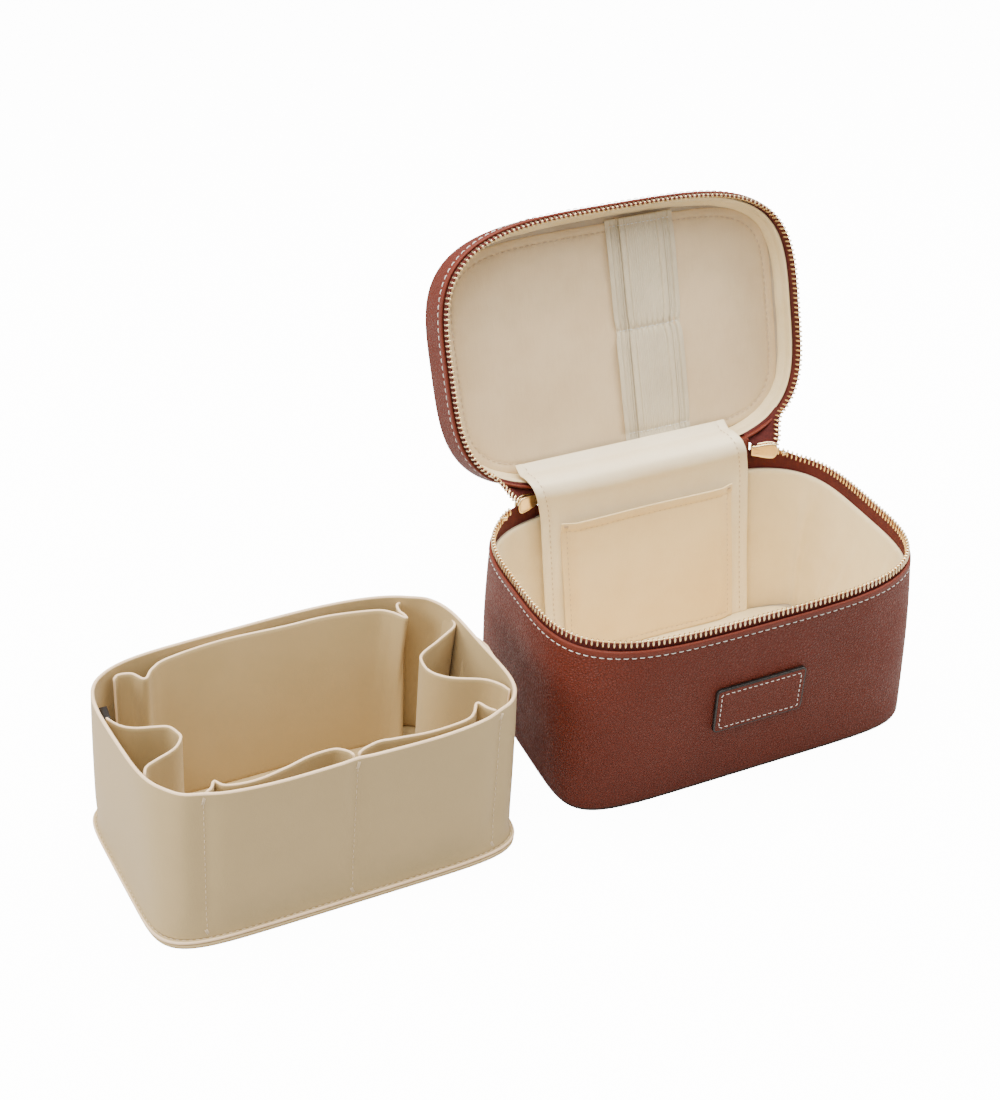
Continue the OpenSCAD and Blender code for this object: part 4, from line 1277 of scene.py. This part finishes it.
def hinge_strip():
    """The leather hinge: it leaves the body's rim, folds inward and joins the lid's rim."""
    xs = np.linspace(-64, 70, 180)
    columns = []
    for x in xs:
        y = rim_y(x, 0.7)
        a = np.array([x, y, RIM_Z - 1.2])
        b = opened(np.array([x, y, LID_Z + 0.6]))
        d = open_direction(np.array([0, 0, -1.0]))
        columns.append(bezier([a, a + [0, -4.5, 7.4], b + d * 3.6, b], 60))
    g = np.array(columns).transpose(1, 0, 2)
    n = grid_normals(g, False)
    t = np.linspace(0, 1, 60)[:, None]
    fold = 0.35 * np.sin(np.pi * t) * (ripple(xs[None] / 123 + 0.5 + 0.06 * t, [3, 5, 8, 13], 3))
    g = g + n * fold[..., None]
    obj = mesh("hinge_strip", sheet_patches(g, 1.2), [LEATHER])
    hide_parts("hinge_leather")
    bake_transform(obj)


FLAP_LEFT, FLAP_RIGHT = FLAP_X - FLAP_HALF, FLAP_X + FLAP_HALF


def flap_section(count):
    """The flap's path in y and z, from the floor up the back, over the hinge and into the lid."""
    panel_end = opened(np.array([0, 60.5, PANEL_Z - 1.9]))[1:]
    points = [[50.0, 6.9], [53.2, 25], [57.4, 50], [61.6, 76], [64.4, 96], [64.6, 106], [64.2, 112.5], [66.4, 117.6],
              [70.6, 120.2], [74.6, 121.0], [79.5, 120.6], panel_end]
    return spline(np.column_stack([points, np.zeros(len(points))]), count)[:, :2]


FLAP_PATH = flap_section(240)


def flap_surface(t, x):
    """Points on the flap at the fraction t of its path and across at x."""
    k = t * (len(FLAP_PATH) - 1)
    y = np.interp(k, np.arange(len(FLAP_PATH)), FLAP_PATH[:, 0])
    z = np.interp(k, np.arange(len(FLAP_PATH)), FLAP_PATH[:, 1])
    shift = -6.5 * ease((t - 0.66) / 0.3)
    w = (x - FLAP_X) / FLAP_HALF
    wall = ease((0.62 - t) / 0.2)
    over = bump(t, 0.8, 0.09)
    lift = over * 1.4 * abs(w) ** 3
    sag = 0.55 * np.sin(x / 21 + 2.2 * t * 3) * wall + 0.35 * np.sin(x / 9.5 + 5 * t) * wall * (1 - abs(w) ** 4)
    return np.stack([x + shift, y - 0.8 * sag - 0.6, z + lift + 0.25 * over * np.sin(x / 13)], -1)


def flap():
    """The satin flap, and the stitches along both of its sides."""
    t, x = np.meshgrid(np.linspace(0, 1, 240), np.linspace(FLAP_LEFT, FLAP_RIGHT, 150), indexing="ij")
    g = flap_surface(t, x)
    n = grid_normals(g, False)
    near = bump(abs(x - FLAP_X), FLAP_HALF - 5.0, 0.9)
    roll = ease((abs(x - FLAP_X) - FLAP_HALF + 4.4) / 2)
    g = g + n * (0.22 * roll - 0.3 * near)[..., None]
    run = length(FLAP_PATH)
    uv = np.stack([x, t * run], -1)
    obj = mesh("lining_flap_satin", sheet_patches(g, 0.9, uv=uv), [FLAP_SATIN])
    rows = []
    ts = np.linspace(0.01, 0.985, 500)
    for edge in (FLAP_LEFT + 5, FLAP_RIGHT - 5):
        path = flap_surface(ts, np.full(500, edge))
        tangent = unit(np.gradient(path, axis=0))
        up = unit(np.cross([1.0, 0, 0], tangent))
        path = path + up * 0.3
        rows.append(stitch_row(path, up, 3.4, 0.5, 0.26))
    threads = mesh("lining_flap_stitches", rows, [SHADED_CREAM_THREAD])
    for o in (obj, threads):
        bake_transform(o)
    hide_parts("lining_flap")


POCKET_LOW, POCKET_TOP = 7.4, 94.0


def pocket():
    """The slip pocket on the flap: a flat panel with a turned hem, stitched round, a little slack."""
    low, high = FLAP_X - 55.5, FLAP_X + 55.5
    z_of = FLAP_PATH[:, 1]
    t_of = lambda z: np.interp(z, z_of[:150], np.linspace(0, 1, 240)[:150])
    zz, xx = np.meshgrid(np.linspace(POCKET_LOW, POCKET_TOP, 110), np.linspace(low, high, 150), indexing="ij")
    base = flap_surface(t_of(zz), np.full_like(xx, FLAP_X))
    side = np.minimum(xx - low, high - xx)
    from_top, from_low = POCKET_TOP - zz, zz - POCKET_LOW
    slack = ease(side / 9) * (0.9 + 0.9 * ease(from_low / 30)) + 0.7 * np.sin(xx / 26) ** 2 * ease(side / 10)
    seam = 0.3 * (bump(side, 3.2, 0.7) * (from_top > 3) + bump(from_top, 5.2, 0.7) * (side > 3)
                  + bump(from_low, 3.2, 0.7) * (side > 3))
    hem = 0.35 * ease((5.6 - from_top) / 0.8)
    out = 1.3 + slack + hem - seam
    g = np.stack([xx, base[..., 1] - out, zz], -1)
    patches = sheet_patches(g[:, ::-1], 0.8, uv=np.stack([xx, zz], -1)[:, ::-1])
    obj = piece("flap_pocket_panel", patches, POCKET, "case", "panel_fabric", "flap_pocket")
    rows = []
    surface = lambda x, z: np.column_stack([
        x, [g[np.argmin(abs(g[:, 0, 2] - b)), np.argmin(abs(g[0, :, 0] - a)), 1] - 0.42 for a, b in zip(x, z)], z])
    up = np.tile([0, -1.0, 0.15], (240, 1))
    ends = (low + 3.2, high - 3.2, POCKET_LOW + 3.2, POCKET_TOP - 5.2)
    for x, z in ((np.full(240, ends[0]), np.linspace(ends[2], POCKET_TOP - 1, 240)),
                 (np.full(240, ends[1]), np.linspace(ends[2], POCKET_TOP - 1, 240)),
                 (np.linspace(ends[0], ends[1], 240), np.full(240, ends[3])),
                 (np.linspace(ends[0], ends[1], 240), np.full(240, ends[2]))):
        rows.append(stitch_row(surface(x, z), up, 3.4, 0.5, 0.26))
    for x in ends[:2]:
        mid = surface(np.array([x]), np.array([POCKET_TOP - 1.8]))[0]
        rows.append(bar_tack(mid, np.array([1.0, 0, 0]), np.array([0, -1.0, 0]), 4.0))
    stitches("flap_pocket_stitches", "case", rows, SHADED_CREAM_THREAD)


# ---------------------------------------------------------------- the organiser


def organiser_half(z):
    """Half sizes and power of the organiser's wall, on its outside, at height z."""
    t = np.clip(z / ORG_H, 0, 1)
    return ORG_W - 1.8 * (1 - t), ORG_D - 3 * (1 - t), mix(7.0, 4.5, t)


SEAMS = (-73.0, -0.3, 76.0)


def organiser_surface(rows_z, out, count):
    """Rings of the organiser's wall: at heights, each pushed out by a distance; dents at the front seams."""
    rings = []
    for z, o in zip(rows_z, out):
        a, b, n = organiser_half(z)
        p = outline(a + o, b + o, n, count)
        rings.append(np.column_stack([p, np.full(count, z)]))
    g = np.array(rings)
    x, y, z = g[:, :, 0], g[:, :, 1], g[:, :, 2]
    n = outward(g[len(rows_z) // 2, :, :2])
    front, back = ease((-y - 45) / 8), ease((y - 45) / 8)
    left, right = ease((-x - 80) / 10), ease((x - 80) / 10)
    tall = ease((z - 6) / 18)
    dent = -sum(1.5 * bump(x, s, 5.5) for s in SEAMS) * front * tall * ease((86 - z) / 30 + 0.55)
    swell = front * tall * 1.0 * (bump(x, -36, 26) + bump(x, 37, 28))
    sway = tall * (0.9 * left * np.sin(y / 24 + 0.6) + 0.8 * right * np.sin(y / 21 - 0.8) + 0.8 * back * np.sin(x / 34 + z / 60))
    ends = (z / ORG_H) ** 2 * (0.9 * back * np.sin(x / 24) - 0.5 * left)
    g[:, :, :2] += (dent + swell + sway + ends)[..., None] * n[None]
    return g


def organiser_wall():
    """The wall, bent outward at its foot into a flange that is sewn to the base."""
    z = np.r_[2.75, 2.72, 2.72, 2.78, 3.1, 3.9, 5.2, 7.2, 10, 14, np.linspace(19, 82, 20), 85, 86.6, ORG_H - 0.5]
    out = np.zeros(len(z))
    out[:12] = [2.6, 2.1, 1.6, 1.15, 0.85, 0.6, 0.4, 0.22, 0.1, 0.05, 0.0, 0.0]
    g = organiser_surface(z, out - 0.9, 900)
    patches = [moved_aside(p) for p in sheet_patches(g, ORG_SHEET, True, edge_slot=1)]
    obj = piece("organiser_wall_sheet", patches, [SHEET, CUT_EDGE], "organiser", "cream_sheet", "organiser_wall")
    g = organiser_surface([3.7, 3.7, 3.7], np.array([1.0, 0.8, 0.6]), 1400)
    path = beside_case(np.vstack([g[1], g[1][:1]]))
    up = np.tile([0, 0, 1.0], (len(path), 1))
    rows = [stitch_row(path, up, 3.2, 0.55, 0.18)]
    for s in SEAMS:
        line = seam_line(s, np.linspace(9.0, 82.5, 200))
        rows.append(stitch_row(line, np.tile([0, -1.0, 0], (200, 1)), 3.4, 0.56, 0.19))
        for k, tilt in ((84.0, 0.35), (6.5, -0.3)):
            at = seam_line(s, np.array([k, k + 0.1]))[0]
            rows.append(bar_tack(at, unit(np.array([tilt, 0.0, 1.0])), np.array([0, -1.0, 0]), 4.4, 0.26))
    stitches("organiser_stitches", "organiser", rows, ORG_THREAD)
    return obj


def moved_aside(patch):
    """A patch of the organiser, moved to where it stands."""
    return (beside_case(patch[0]), *patch[1:])


def seam_line(x, zs, lift=0.1):
    """A line up the outside of the front wall at the organiser's own x."""
    g = organiser_surface(zs, np.zeros(len(zs)), 1200)
    front = g[:, :, 1] < 0
    miss = np.where(front, abs(g[:, :, 0] - x), 1e9)
    k = miss.argmin(1)
    p = g[np.arange(len(zs)), k]
    p[:, 0] = x
    p[:, 1] -= lift
    return beside_case(p)


def organiser_base():
    """The flat base sheet, cut to the flange's outline."""
    section = [(0.7, 0.0), (0.1, 0.25), (0.0, 0.9), (0.1, 1.6), (0.7, ORG_SHEET)]
    patches = []
    g = np.array([np.column_stack([outline(ORG_W - i, ORG_D - i, 7.0, 600), np.full(600, z)]) for i, z in section])
    patches.append(moved_aside(grid_patch(g, True)))
    for k, flip in ((0, True), (-1, False)):
        rings = np.array([np.column_stack([outline(ORG_W - i, ORG_D - i, 7.0, 600), np.full(600, section[k][1])])
                          for i in (0.7, 8, 20, 40)])
        patches.append(moved_aside(disc_patch(rings, rings[:, :, :2], flip)))
    piece("organiser_base_sheet", patches, [SHEET, CUT_EDGE], "organiser", "cream_sheet", "organiser_base")


def divider(name, node, points, top, flat_w, waves=0.5, low=2.0, seed=1, top_curve=0.0, flare=None):
    """An upright sheet inside the organiser along a curve in plan, its top edge cut, softly bowed.

    flare moves its points sideways with height, as a list of (x, y) shifts at the top, one for each point.
    """
    cols = max(60, int(length(spline(points, 400)) * 1.3))
    path = spline(points, cols)
    shift = spline(np.add(points, flare), cols) - path if flare is not None else np.zeros((cols, 2))
    s = np.linspace(0, 1, cols)
    rows = 40
    t = np.linspace(0, 1, rows)[:, None]
    n = outward(path, False)
    bow = waves * (np.sin(2 * np.pi * s * 1.5 + seed)[None] * (t - 0.3) * 1.6 + 0.6 * np.sin(2 * np.pi * s * 3.5 + seed * 2)[None] * t**2)
    bow = bow * ease(s / 0.08)[None] * ease((1 - s) / 0.08)[None]
    xy = path[None] + shift[None] * (t**1.5)[..., None] + n[None] * bow[..., None]
    height = low + (top - low + top_curve * np.sin(np.pi * s)[None]) * t
    g = np.concatenate([xy, height[..., None]], 2)
    patches = [moved_aside(p) for p in sheet_patches(g, 1.4, edge_slot=1)]
    return piece(name, patches, [SHEET, CUT_EDGE], "organiser", "cream_sheet", node), g


def organiser_inside():
    """The tall back pocket, the S-shaped loops at both ends, the slip layer, and the front pockets."""
    divider("organiser_pocket_back", "organiser_back_pocket",
            [[-78.4, 47], [-75, 48.5], [-69.2, 47.3], [-64.6, 42], [-59.5, 45.5], [-48, 47.5], [-16, 47.5], [15, 47.5],
             [39, 47.3], [60, 46], [68.5, 43.2], [73.4, 38.4], [75.5, 42.5], [77, 46.5], [79, 48]],
            84, 0.15, waves=0.25, seed=2,
            flare=[[0, 2], [-0.4, 2.7], [0, 2.2], [-0.2, 0.9], [0.8, 4.1], [0, 7.3], [0, 11], [0.5, 10], [0.7, 9.8],
                   [2, 6.1], [0.9, 3.4], [0.4, 0.2], [-1.6, 4], [-1.8, 5.7], [0, 5.9]])
    divider("organiser_loop_left", "organiser_left_loop",
            [[-88.5, 21], [-86.4, 13.2], [-82, 8.6], [-73.7, 5.8], [-67.5, 3], [-65.1, -2.4], [-65.1, -7.3],
             [-70.7, -13.4], [-80, -18.4], [-85.4, -21.6], [-87, -26.2]],
            83, 0.09, waves=0.25, seed=4,
            flare=[[-3, 0], [-2, 0], [-0.8, 0], [0, 0], [0, 0], [0, 0], [0, 0], [0, 0], [-1, 0], [-1.7, 0], [-2.7, 0]])
    divider("organiser_loop_right", "organiser_right_loop",
            [[90, 35.6], [89.6, 27.9], [87.8, 21.6], [78, 14], [67.4, 7.8], [63.6, 2.6], [62.5, -7.8], [68, -16.5],
             [80.6, -24.8], [86, -32], [87, -38]],
            84, 0.12, waves=0.25, seed=5,
            flare=[[4.1, 0], [4.7, 0], [4, 0], [1.5, 0], [0.7, 0], [0.2, 0], [0, 0], [0.3, 0], [2.5, 0], [2.8, 0], [3.2, 0]])
    divider("organiser_slip_right", "organiser_right_slip",
            [[90, 14], [91.4, 3.1], [89.8, -14.6]], 84, 0.04, waves=0.15, seed=6,
            flare=[[6, 0], [7, 0], [7, 0]])
    divider("organiser_front_left", "organiser_front_pocket_left",
            [[-69, -49.6], [-66, -47.5], [-63, -43.6], [-60, -48.2], [-52, -50.4], [-42, -50.6], [-30, -48], [-17, -44.6],
             [-5, -44.2], [0.4, -48.5], [1.6, -52]], 83, 0.07, waves=0.12, seed=7)
    divider("organiser_front_right", "organiser_front_pocket_right",
            [[4.4, -52], [6, -50.6], [10, -49], [17, -47.6], [25, -49], [38, -50.8], [52, -50.6], [62, -49], [67, -45.5],
             [72, -39.6], [74.4, -45], [77, -48.6]], 83, 0.07, waves=0.12, seed=8)
    low, high = span("organiser_label")
    mid, half = (low + high) / 2, (high - low) / 2
    ring = rounded_box(half[1], half[2], 0.8, 80)
    section = [(0.3, -half[0]), (0.0, -half[0] + 0.15), (0.0, half[0] - 0.15), (0.3, half[0])]
    patches = inset_rings(ring, section, lambda p: mid + np.stack([p[..., 2], p[..., 0], p[..., 1]], -1))
    piece("organiser_label_tab", patches, BLACK, "organiser", "black_edge", "organiser_label")


# ---------------------------------------------------------------- building it

body_skin()
base_sheet()
front_patch()
zip_body()
zip_lid()
for side, sign in (("left", -1), ("right", 1)):
    zip_bridge(side, sign)
    slider_piece(side, sign)
    pull_piece(side, sign)
    stop_piece(side, sign)
body_lining()
floor_panel()
lid_lining()
lid_panel()
straps()
lid_leather()
topstitch()
hinge_strip()
flap()
pocket()
organiser_base()
organiser_wall()
organiser_inside()

for node, made in (("base_board", BOARD), ("body_board", BOARD), ("lid_board", BOARD), ("lid_foam", FOAM)):
    data = frame["nodes"][node].data
    data.materials.clear()
    data.materials.append(made)

# ---------------------------------------------------------------- the stage


def floor_and_light():
    """A pale floor that glows for the camera alone, a pale room and the soft lamps."""
    data = bpy.data.meshes.new("floor")
    data.from_pydata([(-60, -60, -0.0005), (60, -60, -0.0005), (60, 60, -0.0005), (-60, 60, -0.0005)], [], [(0, 1, 2, 3)])
    m, tree, shader, at, uv = material("pale floor", 0.9, Base_Color=(0.5, 0.49, 0.47, 1.0),
                                       Emission_Color=(1.0, 1.0, 1.0, 1.0))
    seen = tree.nodes.new("ShaderNodeLightPath").outputs["Is Camera Ray"]
    tree.links.new(maths(tree, "MULTIPLY", seen, 13.0), shader.inputs["Emission Strength"])
    data.materials.append(m)
    floor = bpy.data.objects.new("floor", data)
    bpy.context.scene.collection.objects.link(floor)
    world = bpy.data.worlds.new("pale room")
    world.use_nodes = True
    world.node_tree.nodes["Background"].inputs["Color"].default_value = (1.0, 1.0, 1.0, 1.0)
    world.node_tree.nodes["Background"].inputs["Strength"].default_value = 0.5
    bpy.context.scene.world = world
    for name, place, aim, size, power, color in LIGHTS:
        lamp = bpy.data.lights.new(name, "AREA")
        lamp.shape, lamp.size, lamp.size_y = "RECTANGLE", *size
        lamp.energy, lamp.color = power, color
        obj = bpy.data.objects.new(name, lamp)
        back = unit(np.array(place) - np.array(aim))
        side = unit(np.cross([0, 0, 1.0], back))
        turn = Matrix(np.column_stack([side, np.cross(back, side), back]).tolist()).to_4x4()
        obj.matrix_world = Matrix.Translation(place) @ turn
        bpy.context.scene.collection.objects.link(obj)


LIGHTS = (
    ("key light", (-0.6, -0.45, 1.6), (-0.05, 0, 0.1), (1.0, 1.0), 24.0, (1.0, 0.96, 0.90)),
    ("right light", (1.3, -0.15, 1.2), (0, 0, 0.1), (0.9, 1.2), 27.0, (1.0, 0.96, 0.90)),
    ("top light", (0.05, 0.3, 1.7), (0, 0, 0.1), (1.3, 0.9), 60.0, (1.0, 0.96, 0.90)),
    ("left light", (-1.4, 0.2, 0.7), (0, 0, 0.1), (0.8, 0.8), 18.0, (1.0, 0.96, 0.90)),
)
floor_and_light()


def camera():
    """The camera looks at the case from its front left, from above."""
    azimuth, elevation, roll = (math.radians(v) for v in (-23.21, 34.24, 0.02))
    flat = math.cos(elevation)
    back = np.array([math.sin(azimuth) * flat, -math.cos(azimuth) * flat, math.sin(elevation)])
    right = np.array([math.cos(azimuth), math.sin(azimuth), 0.0])
    up = np.cross(back, right)
    right, up = right * math.cos(roll) + up * math.sin(roll), up * math.cos(roll) - right * math.sin(roll)
    place = (right * -108.65 + up * 82.9 + back * 922.16) * MM
    data = bpy.data.cameras.new("camera")
    data.sensor_width, data.lens = 36.0, 51.82
    data.clip_start, data.clip_end = 0.05, 200.0
    data.dof.use_dof = False
    obj = bpy.data.objects.new("camera", data)
    turn = Matrix(np.column_stack([right, up, back]).tolist()).to_4x4()
    obj.matrix_world = Matrix.Translation(place.tolist()) @ turn
    bpy.context.scene.collection.objects.link(obj)
    bpy.context.scene.camera = obj


camera()
